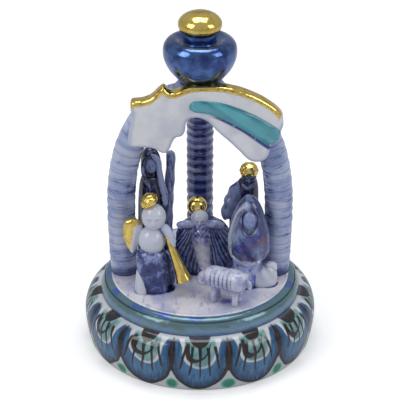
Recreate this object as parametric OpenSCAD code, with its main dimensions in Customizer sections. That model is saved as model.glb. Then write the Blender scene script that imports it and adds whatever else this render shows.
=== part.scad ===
// Porcelain nativity bell: a hollow painted skirt with a clapper inside, a deck with moulded
// figures under three palm-trunk columns, a shooting-star panel in front of their arch, and a
// knob with a gilt ball to hold it by. Millimetres, +Z up, origin at the centre of the foot.

/* [Bell skirt] */
// Radius of the skirt where it is widest
bell_r = 36; // [34:1:50]
// How much narrower the foot rim is than the widest place
foot_step = 1.4; // [0.5:0.1:3]
// How much narrower the shoulder is than the widest place
shoulder_step = 5.5; // [4:0.5:9]
// Height of the widest place above the foot
belly_h = 9.5; // [7:0.5:14]
// Height of the shoulder above the widest place
shoulder_h = 7.1; // [5:0.1:12]
// Wall of the fired porcelain
wall = 3; // [2:0.25:4]

/* [Ring moulding and deck] */
// Height of the lustre ring moulding
ring_h = 5; // [4:0.5:9]
// How much narrower the deck is than the shoulder
deck_step = 3.3; // [2:0.1:6]
// Flat lip of the moulding round the deck
lip = 0.5; // [0.3:0.1:1.5]
// Width of the ledge that the deck lies on
ledge = 2; // [1:0.5:4]

/* [Columns] */
// Radius of a palm-trunk column
column_r = 4.3; // [3:0.1:6]
// Distance from a column's axis to the deck's edge
column_inset = 3.2; // [3.2:0.1:5]
// How much nearer the middle a column's foot stands than its top
column_toe = 0.7; // [0:0.1:2]
// Height from the deck to the spring of the arch
spring_h = 20.4; // [14:0.2:30]
// Rise of the arch from its spring to the crown
arch_rise = 38.8; // [30:0.2:50]
// Depth of the ridges round a trunk
ridge_depth = 0.25; // [0.1:0.05:0.5]

/* [Crown, knob and ball] */
// Radius of the crown where the columns meet
crown_r = 8.8; // [6:0.2:12]
// Radius of the flat top of the crown, which the knob stands on
crown_seat_r = 6.2; // [4:0.2:8]
// Height of the crown's seat above the tops of the columns
crown_cap = 0; // [0:0.2:3]
// Radius of the knob
knob_r = 10.8; // [9:0.2:15]
// Height of the knob
knob_h = 13.8; // [10:0.2:20]
// Radius of the gilt ball
ball_r = 6.4; // [5:0.1:9]
// Half the height of the gilt ball
ball_half_h = 3.9; // [3:0.1:6]

/* [Star panel] */
// Distance of the panel's flat back in front of the columns' axes
panel_back = 4; // [3:0.1:4.2]
// Thickness of the panel at its middle
panel_t = 5.2; // [4:0.1:7]
// Radius of the panel's bowed front
panel_bow_r = 190; // [150:10:400]
// How far the raised tail stands out of the panel
tail_relief = 1.1; // [0.6:0.1:2]

/* [Clapper] */
// Radius of the bead
bead_r = 4.6; // [3:0.1:6]
// Free space between the bead and the wall at the end of a swing
strike_gap = 1.5; // [0.4:0.1:2]
// Radius of the ring's wire
ring_wire_r = 0.45; // [0.3:0.05:0.6]
// Radius of the ring, to the middle of its wire
ring_r = 2.6; // [2.4:0.1:4]
// Radius of the clapper's rod
rod_r = 0.5; // [0.4:0.05:0.8]
// Angle between the lying clapper and a plumb line
rest_angle = 70; // [50:1:74]
// Radius of the hole in the lug
lug_bore_r = 0.9; // [0.8:0.05:1.2]
// Thickness of the lug along its hole
lug_t = 2.4; // [2:0.1:3]

/* [Hidden] */
$fn = 96;

// Skirt, ring and deck
foot_r = bell_r - foot_step;
shoulder_r = bell_r - shoulder_step;
shoulder_z = belly_h + shoulder_h;
deck_top = shoulder_z + ring_h;
deck_t = wall;
deck_r = shoulder_r - deck_step;

// Columns and arch
column_ring_r = deck_r - column_inset;
spring_z = deck_top + spring_h;
crown_z = spring_z + arch_rise;
arch_power = 2.35;

// Crown, knob and ball
crown_seat_z = crown_z + column_r + crown_cap;
ball_z = crown_seat_z + knob_h + ball_half_h;

// Panel: the outline is drawn for an arch of this half span, and follows the real one
panel_draft_span = 24;
panel_front = panel_back + panel_t;

// Clapper
lug_r = 1.9;
lug_drop = 1.6;
lug_z = deck_top - deck_t - lug_drop;
ring_z = lug_z - ring_r;
foot_bore_r = foot_r - wall;
clapper_l = (foot_bore_r - bead_r + foot_step / 2 - strike_gap) / sin(rest_angle + 4);
eye_r = 1.15;
eye_wire_r = 0.42;
end_r = 1.2;
end_t = 0.6;

// Lines from the centre of the deck, as shares of its radius
angel_at = [-0.525, -0.405];
joseph_at = [-0.55, 0.22];
manger_at = [0.04, 0.11];
shepherd_at = [0.51, 0.31];
mary_at = [0.545, -0.265];
lamb_at = [0.29, -0.70];
bundle_at = [0.725, -0.30];

// ---------- shapes ----------

// Closed body through level ovals, each [x, y, z, half width, half depth]
module loft(levels, sides = 20) {
    last = len(levels) - 1;
    points = [
        for (level = levels)
        for (k = [0 : sides - 1])
        [level[0] + level[3] * cos(360 * k / sides), level[1] + level[4] * sin(360 * k / sides), level[2]]];
    faces = [
        [for (k = [0 : sides - 1]) k],
        [for (k = [sides - 1 : -1 : 0]) last * sides + k],
        for (i = [0 : last - 1])
        for (k = [0 : sides - 1])
        let (next = (k + 1) % sides)
        [i * sides + k, (i + 1) * sides + k, (i + 1) * sides + next, i * sides + next]];
    polyhedron(points, faces, convexity = 4);
}

// Levels of an egg standing at a point: half width, half depth and half height
function egg_levels(at, size, from = -80, to = 80, step = 20) = [
    for (a = [from : step : to])
    [at[0], at[1], at[2] + size[2] * sin(a), size[0] * cos(a), size[1] * cos(a)]];

module egg(at, size, from = -80, to = 80, step = 20) {
    loft(egg_levels(at, size, from, to, step));
}

// Tube along a line of [x, y, z] that bends in the XZ plane, with its own half width in that
// plane and half depth along Y at each point
module bent_tube(line, half_widths, half_depths, sides = 14) {
    last = len(line) - 1;
    function heading(i) = line[min(i + 1, last)] - line[max(i - 1, 0)];
    function side(i) = [heading(i)[2], 0, -heading(i)[0]] / norm([heading(i)[0], heading(i)[2]]);
    points = [
        for (i = [0 : last])
        for (k = [0 : sides - 1])
        line[i] + half_widths[i] * cos(360 * k / sides) * side(i)
            + [0, half_depths[i] * sin(360 * k / sides), 0]];
    faces = [
        [for (k = [0 : sides - 1]) k],
        [for (k = [sides - 1 : -1 : 0]) last * sides + k],
        for (i = [0 : last - 1])
        for (k = [0 : sides - 1])
        let (next = (k + 1) % sides)
        [i * sides + k, (i + 1) * sides + k, (i + 1) * sides + next, i * sides + next]];
    polyhedron(points, faces, convexity = 6);
}

module on_deck(place) {
    translate([place[0] * deck_r, place[1] * deck_r, deck_top]) children();
}

// ---------- bell ----------

function skirt_outside() = [
    for (t = [0 : 0.2 : 0.8]) [foot_r + foot_step * sin(90 * t), belly_h * t],
    for (a = [0 : 15 : 90]) [shoulder_r + shoulder_step * cos(a), belly_h + shoulder_h * sin(a)]];

function skirt_inside() = [
    [shoulder_r - wall, shoulder_z],
    for (a = [90 : -15 : 0])
    [shoulder_r - wall + shoulder_step * cos(a), belly_h + (shoulder_h - wall * 0.8) * sin(a)],
    for (t = [0.8 : -0.2 : 0]) [foot_bore_r + foot_step * sin(90 * t), belly_h * t]];

module bell_skirt() {
    color("#DDDDE0")
    rotate_extrude()
    polygon(concat(skirt_outside(), skirt_inside()));
}

module lustre_ring() {
    bulge = deck_step - lip;
    color("#5E8A9A")
    rotate_extrude()
    polygon(concat(
        [for (a = [0 : 15 : 90]) [deck_r + lip + bulge * cos(a), shoulder_z + ring_h * sin(a)]],
        [[deck_r, deck_top], [deck_r, deck_top - deck_t], [deck_r - ledge, deck_top - deck_t],
            [deck_r - ledge, shoulder_z]]));
}

module deck() {
    color("#A9B0D2")
    translate([0, 0, deck_top - deck_t])
    cylinder(r = deck_r, h = deck_t);
}

// ---------- columns, crown and knob ----------

// Centreline of the column that stands at +X, up and over to the middle of the crown
function column_line() = [
    for (t = [0 : 0.1 : 0.9])
    [column_ring_r - column_toe * pow(1 - t, 2), 0, deck_top + spring_h * t],
    for (a = [0 : 3 : 87])
    [column_ring_r * pow(cos(a), 2 / arch_power), 0, spring_z + arch_rise * pow(sin(a), 2 / arch_power)]];

module column_solid() {
    line = column_line();
    radii = [for (i = [0 : len(line) - 1]) column_r - (i % 2) * ridge_depth];
    bent_tube(line, radii, radii);
}

module column(turn) {
    difference() {
        rotate([0, 0, turn]) column_solid();
        crown_solid();
        panel_space();
        translate([0, 0, deck_top - column_r]) cylinder(r = bell_r, h = column_r);
    }
}

module left_column() {
    color("#9AA8D0") column(180);
}

module right_column() {
    color("#9AA8D0") column(0);
}

module back_column() {
    color("#3A4684") column(90);
}

module crown_solid() {
    rotate_extrude()
    polygon([
        [0, crown_z - column_r], [crown_r * 0.6, crown_z - column_r * 0.9], [crown_r * 0.95, crown_z - 1.6],
        [crown_r, crown_z + 0.6], [crown_r * 0.92, crown_z + 2.8], [crown_seat_r, crown_seat_z],
        [0, crown_seat_z]]);
}

module crown() {
    color("#7C86BE")
    difference() {
        crown_solid();
        panel_space();
    }
}

// Oval ball, half outline turned round Z
module ball_solid() {
    translate([0, 0, ball_z])
    rotate_extrude()
    polygon([for (a = [-90 : 10 : 90]) [ball_r * cos(a), ball_half_h * sin(a)]]);
}

module knob() {
    neck_r = ball_r * 0.72;
    color("#35507F")
    difference() {
        translate([0, 0, crown_seat_z])
        rotate_extrude()
        polygon([
            [0, 0], [crown_seat_r, 0], [crown_seat_r + 0.8, 2], [knob_r * 0.83, knob_h * 0.36],
            [knob_r * 0.96, knob_h * 0.58], [knob_r, knob_h * 0.76], [knob_r * 0.94, knob_h * 0.9],
            [knob_r * 0.77, knob_h], [neck_r + 1.2, knob_h - 0.4], [neck_r, knob_h - 1.2],
            [neck_r, knob_h + ball_half_h * 0.5], [0, knob_h + ball_half_h * 0.5]]);
        ball_solid();
        panel_space();
    }
}

module ball_finial() {
    color("#E0C040") ball_solid();
}

// ---------- star panel ----------

// Outline of star and tail from the left ray, over the top and back below; heights are from
// the crown's centre
panel_outline = [
    [-20.2, 0.7], [-17, 1.4], [-14.5, 2.3], [-12.2, 4.5], [-10.6, 5.9], [-8.9, 4.1], [-6, 4.2],
    [0, 5.2], [5.7, 5.2], [11.5, 4.2], [17.3, 1.7], [21.7, -1.1], [24.2, -3.9], [24.4, -5.7],
    [23.8, -8.5], [20.3, -13], [19.6, -15.8], [17.5, -17.2], [14.6, -16.8], [11.6, -13.7],
    [8.6, -10.8], [5.7, -8.2], [3.7, -6.3], [1, -4.8], [-2.1, -3.9], [-3.9, -5.3], [-4, -8.5],
    [-6.8, -9.2], [-8.2, -11.7], [-10.2, -14.1], [-14.4, -12.5], [-20.2, -11.6], [-20.4, -8.8],
    [-19.9, -3.4]];

function panel_x(x) = x * column_ring_r / panel_draft_span;

function panel_front_y(x) = -panel_front + panel_bow_r - sqrt(pow(panel_bow_r, 2) - pow(x, 2));

// Everything behind the panel's bowed front, which is laid out in narrow flat strips
module behind_bow() {
    reach = column_ring_r * 1.1;
    strips = 24;
    translate([0, 0, crown_z - arch_rise])
    linear_extrude(arch_rise * 2)
    polygon([
        [reach, 0], [-reach, 0],
        for (i = [0 : strips])
        let (x = reach * (2 * i / strips - 1))
        [x, panel_front_y(x)]]);
}

module panel_solid() {
    intersection() {
        translate([0, -panel_back, crown_z])
        rotate([90, 0, 0])
        linear_extrude(panel_front)
        polygon([for (p = panel_outline) [panel_x(p[0]), p[1]]]);
        behind_bow();
    }
}

// Everything in front of the panel's back, within its outline
module panel_space() {
    translate([0, -panel_back, crown_z])
    rotate([90, 0, 0])
    linear_extrude(panel_front * 2)
    polygon([for (p = panel_outline) [panel_x(p[0]), p[1]]]);
}

module star_panel() {
    color("#C8CAD3") panel_solid();
}

module tail_ridge() {
    line = [
        for (p = [[-3.3, -0.5], [-1, 0], [2, 0], [5, -0.9], [8.6, -2.3], [13, -4.5], [17, -7.2], [20.5, -9.8],
            [22.4, -11.4]])
        [panel_x(p[0]), panel_front_y(panel_x(p[0])), crown_z + p[1]]];
    half_widths = [0.7, 1.7, 2.3, 2.8, 3.1, 3.4, 3.5, 3.5, 3.1];
    color("#4F93A8")
    difference() {
        bent_tube(line, half_widths, [for (w = half_widths) tail_relief]);
        behind_bow();
    }
}

// ---------- angel with trumpet ----------

module angel_robe_solid() {
    loft([[0, 0, 0, 4.9, 4.1], [0.1, 0, 1.2, 5.2, 4.4], [0, 0, 6, 4.7, 4], [-0.2, 0, 10, 4.4, 3.8],
        [-0.3, 0, 13, 3.6, 3.2]]);
}

module angel_robe() {
    color("#2E3A74")
    on_deck(angel_at)
    angel_robe_solid();
}

module angel_foot() {
    color("#B9BDD6")
    on_deck(angel_at)
    difference() {
        loft([[-3.4, -1.4, 0, 2.2, 2.8], [-3.6, -1.4, 2, 2.1, 2.6], [-3.9, -0.8, 6, 1.6, 2],
            [-3.8, 0, 9.5, 0.9, 1.2]]);
        angel_robe_solid();
    }
}

module angel_body_solid() {
    egg([-0.1, 0.6, 16.4], [4.2, 3.9, 4.6]);
}

module angel_body() {
    color("#C6C9DC")
    on_deck(angel_at)
    difference() {
        angel_body_solid();
        angel_robe_solid();
    }
}

module angel_head_solid() {
    egg([0.5, 1, 24], [3.7, 3.5, 4.2]);
}

module angel_head() {
    color("#C6C9DC")
    on_deck(angel_at)
    difference() {
        angel_head_solid();
        angel_body_solid();
    }
}

module angel_hair() {
    color("#D9B93A")
    on_deck(angel_at)
    difference() {
        translate([-0.9, 1.2, 29.3])
        rotate([0, -32, 0])
        egg([0, 0, 0], [2.9, 2.8, 2.2]);
        angel_head_solid();
    }
}

module angel_arm_solid() {
    loft([[6, -1.6, 15.6, 0.9, 0.9], [5.6, -1.4, 17.6, 1.2, 1.2], [4.6, -0.6, 20, 1.3, 1.3],
        [2.8, 0.4, 22, 1.2, 1.2]], 14);
}

module angel_arm() {
    color("#B9BDD6")
    on_deck(angel_at)
    difference() {
        angel_arm_solid();
        angel_body_solid();
        angel_head_solid();
    }
}

module angel_wing_solid() {
    loft([[-6.2, 1.6, 11.6, 0.7, 0.8], [-6.6, 1.8, 13.5, 1.8, 1.2], [-6.9, 2, 17, 2.5, 1.6],
        [-6.8, 2, 19.5, 2.7, 1.6], [-6.2, 2, 21.6, 2.1, 1.3], [-5.8, 2, 22.6, 1, 0.8]]);
}

module angel_wing() {
    color("#D9B93A")
    on_deck(angel_at)
    difference() {
        angel_wing_solid();
        angel_body_solid();
        angel_robe_solid();
    }
    color("#C6C9DC")
    on_deck(angel_at)
    difference() {
        loft([[-4, 1.4, 15.5, 1.4, 0.9], [-4, 1.4, 17.5, 1.6, 1]], 12);
        angel_wing_solid();
        angel_body_solid();
    }
}

module trumpet() {
    color("#D9B93A")
    on_deck(angel_at)
    difference() {
        loft([[9.6, -3.4, 4.6, 2.1, 1.7], [9.2, -3.3, 5.6, 1.7, 1.5], [7.2, -2.6, 11.4, 1.05, 1.05],
            [5.2, -1.8, 17, 0.75, 0.75], [4.6, -1.5, 18.6, 0.7, 0.7]], 16);
        angel_arm_solid();
        angel_body_solid();
    }
}

// ---------- Joseph, hooded, with a staff ----------

module joseph_cloak_solid() {
    loft([[0, 0, 0, 4.4, 4], [0, 0, 8, 4.3, 3.9], [0, 0, 20, 4.2, 3.7], [0.2, 0, 27, 3.9, 3.6],
        [0.2, 0, 30, 3.2, 3], [0, 0, 33, 3.2, 3.1], [-0.1, 0, 36, 2.9, 3], [-0.2, 0, 38.3, 1.8, 2],
        [-0.2, 0, 39.3, 0.7, 0.8]]);
}

module joseph_cloak() {
    color("#333E7C")
    on_deck(joseph_at)
    difference() {
        joseph_cloak_solid();
        egg([0.2, -2.3, 34], [1.7, 1.4, 2.3]);
    }
}

module joseph_face() {
    color("#B9BDD6")
    on_deck(joseph_at)
    egg([0.2, -2.3, 34], [1.7, 1.4, 2.3]);
}

module joseph_staff() {
    color("#6B76B0")
    on_deck(joseph_at)
    difference() {
        loft([[4.6, 1.4, 0, 1.5, 1.5], [4.5, 1.4, 18, 1.6, 1.6], [4.4, 1.6, 32, 1.6, 1.5],
            [4.2, 1.8, 36, 1.1, 1], [4.1, 1.9, 37.4, 0.5, 0.5]], 16);
        joseph_cloak_solid();
    }
}

// ---------- manger with the child ----------

module manger_solid() {
    loft([[0, 0, 0, 8.2, 6.4], [0, 0, 1.5, 8.8, 6.8], [0, 0.3, 6, 8.9, 6.4], [0, 0.8, 11, 7.9, 5.2],
        [-0.2, 1.4, 14.2, 5.4, 3.6], [-0.2, 1.8, 15.8, 2.6, 2]], 24);
}

module manger() {
    color("#26306A")
    on_deck(manger_at)
    manger_solid();
}

module child_body_solid() {
    hull() {
        translate([-0.9, -0.9, 14.4]) sphere(r = 2.2, $fn = 20);
        translate([-0.6, -4.3, 10]) sphere(r = 2.4, $fn = 20);
        translate([0.2, -7.2, 3.6]) sphere(r = 1.6, $fn = 20);
    }
}

module child_body() {
    color("#C6C9DC")
    on_deck(manger_at)
    difference() {
        child_body_solid();
        manger_solid();
    }
}

module child_arms() {
    color("#A7AFD4")
    on_deck(manger_at)
    difference() {
        for (side = [-1, 1])
        hull() {
            translate([-1, -0.8, 15]) sphere(r = 1.2, $fn = 16);
            translate([-1 + side * 6.4, -0.4, 14.4]) sphere(r = 1.1, $fn = 16);
        }
        child_body_solid();
        child_head_solid();
        manger_solid();
    }
}

module child_head_solid() {
    translate([-1.3, -0.4, 17.6]) sphere(r = 2.7, $fn = 24);
}

module child_head() {
    color("#C6C9DC")
    on_deck(manger_at)
    difference() {
        child_head_solid();
        child_body_solid();
        manger_solid();
    }
}

module child_halo() {
    color("#D9B93A")
    on_deck(manger_at)
    difference() {
        union() {
            translate([-2, 2.6, 19.6]) sphere(r = 3, $fn = 28);
            translate([-2, 2.4, 14.6]) cylinder(r = 1.2, h = 3.4, $fn = 16);
        }
        child_head_solid();
        manger_solid();
    }
}

// ---------- shepherd, standing, one arm bent ----------

module shepherd_robe_solid() {
    loft([[0, 0.6, 0, 4.9, 4], [0, 0.6, 6, 4.7, 3.8], [-0.2, 0.6, 18, 4.5, 3.5], [0.2, 0.3, 24, 4, 3.1],
        [0.9, 0, 26.6, 3, 2.6], [1.2, -0.2, 28.4, 1.9, 1.9]]);
}

module shepherd_robe() {
    color("#1F2A60")
    on_deck(shepherd_at)
    shepherd_robe_solid();
}

module shepherd_arm() {
    color("#2E3A74")
    on_deck(shepherd_at)
    difference() {
        loft([[-6, -1.4, 13.4, 1, 1], [-5.8, -1.3, 15.4, 1.6, 1.5], [-4.2, -0.6, 20, 1.9, 1.7],
            [-2.4, 0, 24, 1.7, 1.6], [-1.4, 0, 26, 1, 1]], 16);
        shepherd_robe_solid();
        on_deck_back(shepherd_at) on_deck(manger_at) manger_solid();
    }
}

// Undoes on_deck for the same place, so that another group can be cut away within it
module on_deck_back(place) {
    translate([-place[0] * deck_r, -place[1] * deck_r, -deck_top]) children();
}

module shepherd_head_solid() {
    egg([1.3, -0.4, 29.2], [2.3, 2.3, 2.6]);
}

module shepherd_head() {
    color("#8A94C0")
    on_deck(shepherd_at)
    difference() {
        shepherd_head_solid();
        shepherd_robe_solid();
    }
}

module shepherd_hair() {
    color("#D9B93A")
    on_deck(shepherd_at)
    difference() {
        egg([1.4, 0, 31], [2.9, 2.8, 2.7]);
        shepherd_head_solid();
    }
}

// ---------- Mary, kneeling and veiled ----------

module mary_robe_solid() {
    loft([[-1, -0.4, 0, 4.6, 4.4], [-1, -0.4, 1.4, 4.8, 4.6], [-0.8, -0.2, 5, 3.9, 3.8], [-0.2, 0, 9, 5, 4.2]]);
}

module mary_robe() {
    color("#7F8EC0")
    on_deck(mary_at)
    mary_robe_solid();
}

module mary_veil_solid() {
    loft([[0, 0.2, 7.2, 3.6, 3], [0, 0.1, 8.4, 5.4, 4.1], [0, 0, 12, 6.4, 4.6], [0, 0, 16, 6.5, 4.6],
        [-0.2, 0, 20, 5.8, 4.4], [-0.2, 0.2, 24, 4.6, 4], [-0.1, 0.5, 27, 3.2, 3.2], [0, 0.8, 29, 1.4, 1.6]]);
}

module mary_veil() {
    color("#5A6CA0")
    on_deck(mary_at)
    difference() {
        mary_veil_solid();
        mary_robe_solid();
        mary_face_solid();
    }
}

module mary_face_solid() {
    egg([0, -3.1, 22.6], [1.9, 1.5, 2.5]);
}

module mary_face() {
    color("#9AA6CC")
    on_deck(mary_at)
    mary_face_solid();
}

// ---------- lamb ----------

lamb_turn = -24;

module lamb_legs() {
    color("#C6C9DC")
    on_deck(lamb_at)
    rotate([0, 0, lamb_turn])
    difference() {
        for (x = [-3.4, 3.4], y = [-1.3, 1.3])
        translate([x, y, 0]) cylinder(r = 0.95, h = 5, $fn = 20);
        lamb_body_solid();
    }
}

module lamb_body_solid() {
    hull() {
        translate([-3.2, 0, 7.4]) sphere(r = 3, $fn = 22);
        translate([3.2, 0, 7.4]) sphere(r = 3.1, $fn = 22);
    }
}

module lamb_body() {
    color("#CFD1DE")
    on_deck(lamb_at)
    rotate([0, 0, lamb_turn])
    lamb_body_solid();
}

module lamb_head() {
    color("#CFD1DE")
    on_deck(lamb_at)
    rotate([0, 0, lamb_turn])
    difference() {
        hull() {
            translate([-6.4, 0, 6.6]) sphere(r = 1.9, $fn = 20);
            translate([-8, 0, 5.2]) sphere(r = 1.2, $fn = 20);
        }
        lamb_body_solid();
    }
}

module lamb_tail() {
    color("#CFD1DE")
    on_deck(lamb_at)
    rotate([0, 0, lamb_turn])
    difference() {
        hull() {
            translate([6.2, 0, 7.6]) sphere(r = 0.8, $fn = 14);
            translate([6.9, 0, 5.4]) sphere(r = 0.6, $fn = 14);
        }
        lamb_body_solid();
    }
}

// ---------- tied bundle ----------

module bundle_solid() {
    loft([[0, 0, 0, 3.9, 2.9], [0, 0, 1.2, 4.2, 3.1], [0.2, 0, 4, 3.7, 2.7], [0.7, 0.2, 5.6, 2.6, 2]]);
}

module bundle() {
    color("#CFD1DE")
    on_deck(bundle_at)
    difference() {
        bundle_solid();
        on_deck_back(bundle_at) on_deck(mary_at) mary_robe_solid();
    }
}

module bundle_knot() {
    color("#9AA6CC")
    on_deck(bundle_at)
    difference() {
        egg([1.9, 0.4, 5.4], [1.9, 1.5, 1.5]);
        bundle_solid();
        on_deck_back(bundle_at) on_deck(mary_at) mary_robe_solid();
    }
}

// ---------- clapper ----------

module clapper_lug() {
    color("#D8D4CC")
    difference() {
        union() {
            translate([-lug_t / 2, 0, lug_z]) rotate([0, 90, 0]) cylinder(r = lug_r, h = lug_t);
            translate([-lug_t / 2, -lug_r, lug_z]) cube([lug_t, 2 * lug_r, lug_drop]);
        }
        translate([-lug_t, 0, lug_z]) rotate([0, 90, 0]) cylinder(r = lug_bore_r, h = 2 * lug_t);
        translate([0, 0, lug_z + lug_drop]) cylinder(r = lug_r * 2, h = lug_r);
    }
}

module clapper_ring() {
    color("#8C8C90")
    translate([0, 0, ring_z])
    rotate([90, 0, 0])
    rotate_extrude()
    translate([ring_r, 0]) circle(r = ring_wire_r, $fn = 32);
}

// Turns the plumb clapper about the ring's centre to where it lies
module lying() {
    translate([0, 0, ring_z]) rotate([0, -rest_angle, 0]) children();
}

module clapper_rod() {
    rod_end = clapper_l + bead_r + end_t + 0.2;
    color("#8C8C90")
    lying()
    union() {
        translate([0, 0, -ring_r]) rotate([0, 90, 0]) rotate_extrude() translate([eye_r, 0])
        circle(r = eye_wire_r, $fn = 32);
        translate([0, 0, -rod_end]) cylinder(r = rod_r, h = rod_end - ring_r - eye_r);
    }
}

module clapper_bead() {
    color("#D8D4CC")
    lying()
    difference() {
        translate([0, 0, -clapper_l]) sphere(r = bead_r);
        translate([0, 0, -clapper_l - bead_r - 1]) cylinder(r = rod_r, h = 2 * bead_r + 2);
    }
}

module clapper_end() {
    flat = sqrt(pow(bead_r, 2) - pow(end_r, 2));
    color("#8C8C90")
    lying()
    difference() {
        translate([0, 0, -clapper_l - bead_r - end_t]) cylinder(r = end_r, h = bead_r - flat + end_t);
        translate([0, 0, -clapper_l]) sphere(r = bead_r);
        translate([0, 0, -clapper_l - bead_r - 2 * end_t]) cylinder(r = rod_r, h = bead_r);
    }
}

bell_skirt();
lustre_ring();
deck();
left_column();
right_column();
back_column();
crown();
star_panel();
tail_ridge();
knob();
ball_finial();
angel_robe();
angel_foot();
angel_body();
angel_head();
angel_hair();
angel_arm();
angel_wing();
trumpet();
joseph_cloak();
joseph_face();
joseph_staff();
manger();
child_body();
child_arms();
child_head();
child_halo();
shepherd_robe();
shepherd_arm();
shepherd_head();
shepherd_hair();
mary_robe();
mary_veil();
mary_face();
lamb_body();
lamb_head();
lamb_legs();
lamb_tail();
bundle();
bundle_knot();
clapper_lug();
clapper_ring();
clapper_rod();
clapper_bead();
clapper_end();
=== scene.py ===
from math import cos, exp, hypot, pi, radians, sin, sqrt

import bpy
import numpy as np
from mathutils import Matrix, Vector, noise


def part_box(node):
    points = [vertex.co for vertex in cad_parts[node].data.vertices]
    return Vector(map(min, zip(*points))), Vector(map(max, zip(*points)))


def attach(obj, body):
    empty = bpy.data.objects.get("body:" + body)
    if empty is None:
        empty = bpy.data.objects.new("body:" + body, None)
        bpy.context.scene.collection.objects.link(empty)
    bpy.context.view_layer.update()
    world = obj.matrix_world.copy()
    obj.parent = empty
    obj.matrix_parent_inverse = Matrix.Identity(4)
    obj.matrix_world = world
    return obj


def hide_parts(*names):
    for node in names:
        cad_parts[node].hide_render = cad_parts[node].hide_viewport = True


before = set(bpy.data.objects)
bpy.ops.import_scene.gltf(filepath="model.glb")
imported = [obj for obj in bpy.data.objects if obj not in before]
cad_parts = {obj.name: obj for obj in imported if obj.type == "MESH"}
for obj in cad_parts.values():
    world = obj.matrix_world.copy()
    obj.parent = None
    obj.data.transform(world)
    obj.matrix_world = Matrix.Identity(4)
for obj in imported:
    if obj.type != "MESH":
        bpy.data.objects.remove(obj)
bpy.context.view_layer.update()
MM = 0.001


# ---- Bell skirt ----
# The hollow drum that rings: thin slip-cast porcelain, thrown true on the wheel, under a clear
# glaze. Scallops like peacock feathers are painted round it under the glaze, thirteen of them,
# and the foot it stands on is wiped dry.

BELL_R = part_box("bell_skirt")[1][0] / MM
SHOULDER_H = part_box("bell_skirt")[1][2] / MM
WALL = 3.0
FOOT_STEP = 1.4
SHOULDER_STEP = 5.5
FOOT_R = BELL_R - FOOT_STEP
SHOULDER_R = BELL_R - SHOULDER_STEP
BELLY_H = 9.5
SCALLOPS = 13


def put_down():
    """Nothing stays selected, so that the next tool touches only what it makes."""
    if bpy.context.object and bpy.context.object.mode != "OBJECT":
        bpy.ops.object.mode_set(mode="OBJECT")
    bpy.ops.object.select_all(action="DESELECT")


def turned(name, outline, steps=180):
    """A piece thrown on the wheel: an outline of (radius, height) in mm, spun once round."""
    put_down()
    start = (outline[0][0] * MM, 0, outline[0][1] * MM)
    bpy.ops.mesh.primitive_plane_add(size=MM, location=start)
    piece = bpy.context.object
    piece.name = piece.data.name = name
    bpy.ops.object.transform_apply(location=True, rotation=True, scale=True)
    bpy.ops.object.mode_set(mode="EDIT")
    bpy.ops.mesh.select_all(action="SELECT")
    bpy.ops.mesh.merge(type="CENTER")
    for (r0, z0), (r1, z1) in zip(outline, outline[1:]):
        step = ((r1 - r0) * MM, 0, (z1 - z0) * MM)
        bpy.ops.mesh.extrude_vertices_move(TRANSFORM_OT_translate={"value": step})
    bpy.ops.mesh.select_all(action="SELECT")
    bpy.ops.mesh.spin(steps=steps, angle=2 * pi, center=(0, 0, 0), axis=(0, 0, 1))
    bpy.ops.mesh.select_all(action="SELECT")
    bpy.ops.mesh.remove_doubles(threshold=0.002 * MM)
    bpy.ops.mesh.normals_make_consistent(inside=False)
    bpy.ops.object.mode_set(mode="OBJECT")
    bpy.ops.object.shade_smooth_by_angle(angle=radians(40))
    return piece


def face_outwards(piece):
    """Turns every face of a closed piece outwards."""
    piece.select_set(True)
    bpy.context.view_layer.objects.active = piece
    bpy.ops.object.mode_set(mode="EDIT")
    bpy.ops.mesh.select_all(action="SELECT")
    bpy.ops.mesh.normals_make_consistent(inside=False)
    bpy.ops.object.mode_set(mode="OBJECT")


def arc(middle, wide, high, start, end, count):
    """Points of (radius, height) along part of an oval, angles in degrees from outwards."""
    angles = [start + (end - start) * i / count for i in range(count + 1)]
    return [(middle[0] + wide * cos(radians(a)), middle[1] + high * sin(radians(a))) for a in angles]


def swatch(code):
    """A colour given as on a swatch, #RRGGBB, as light."""
    shares = [int(code[i:i + 2], 16) / 255 for i in (1, 3, 5)]
    return tuple(s / 12.92 if s <= 0.04045 else ((s + 0.055) / 1.055) ** 2.4 for s in shares) + (1,)


class Tone:
    """A value that changes over the surface, worked with like a number."""

    def __init__(self, paint, socket):
        self.paint, self.socket = paint, socket

    def __add__(self, other):
        return self.paint.math("ADD", self, other)

    def __radd__(self, other):
        return self.paint.math("ADD", other, self)

    def __sub__(self, other):
        return self.paint.math("SUBTRACT", self, other)

    def __rsub__(self, other):
        return self.paint.math("SUBTRACT", other, self)

    def __mul__(self, other):
        return self.paint.math("MULTIPLY", self, other)

    def __rmul__(self, other):
        return self.paint.math("MULTIPLY", other, self)

    def __truediv__(self, other):
        return self.paint.math("DIVIDE", self, other)

    def __pow__(self, power):
        return self.paint.math("POWER", self, power)

    def __rpow__(self, base):
        return self.paint.math("POWER", base, self)

    def __abs__(self):
        return self.paint.math("ABSOLUTE", self)


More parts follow.
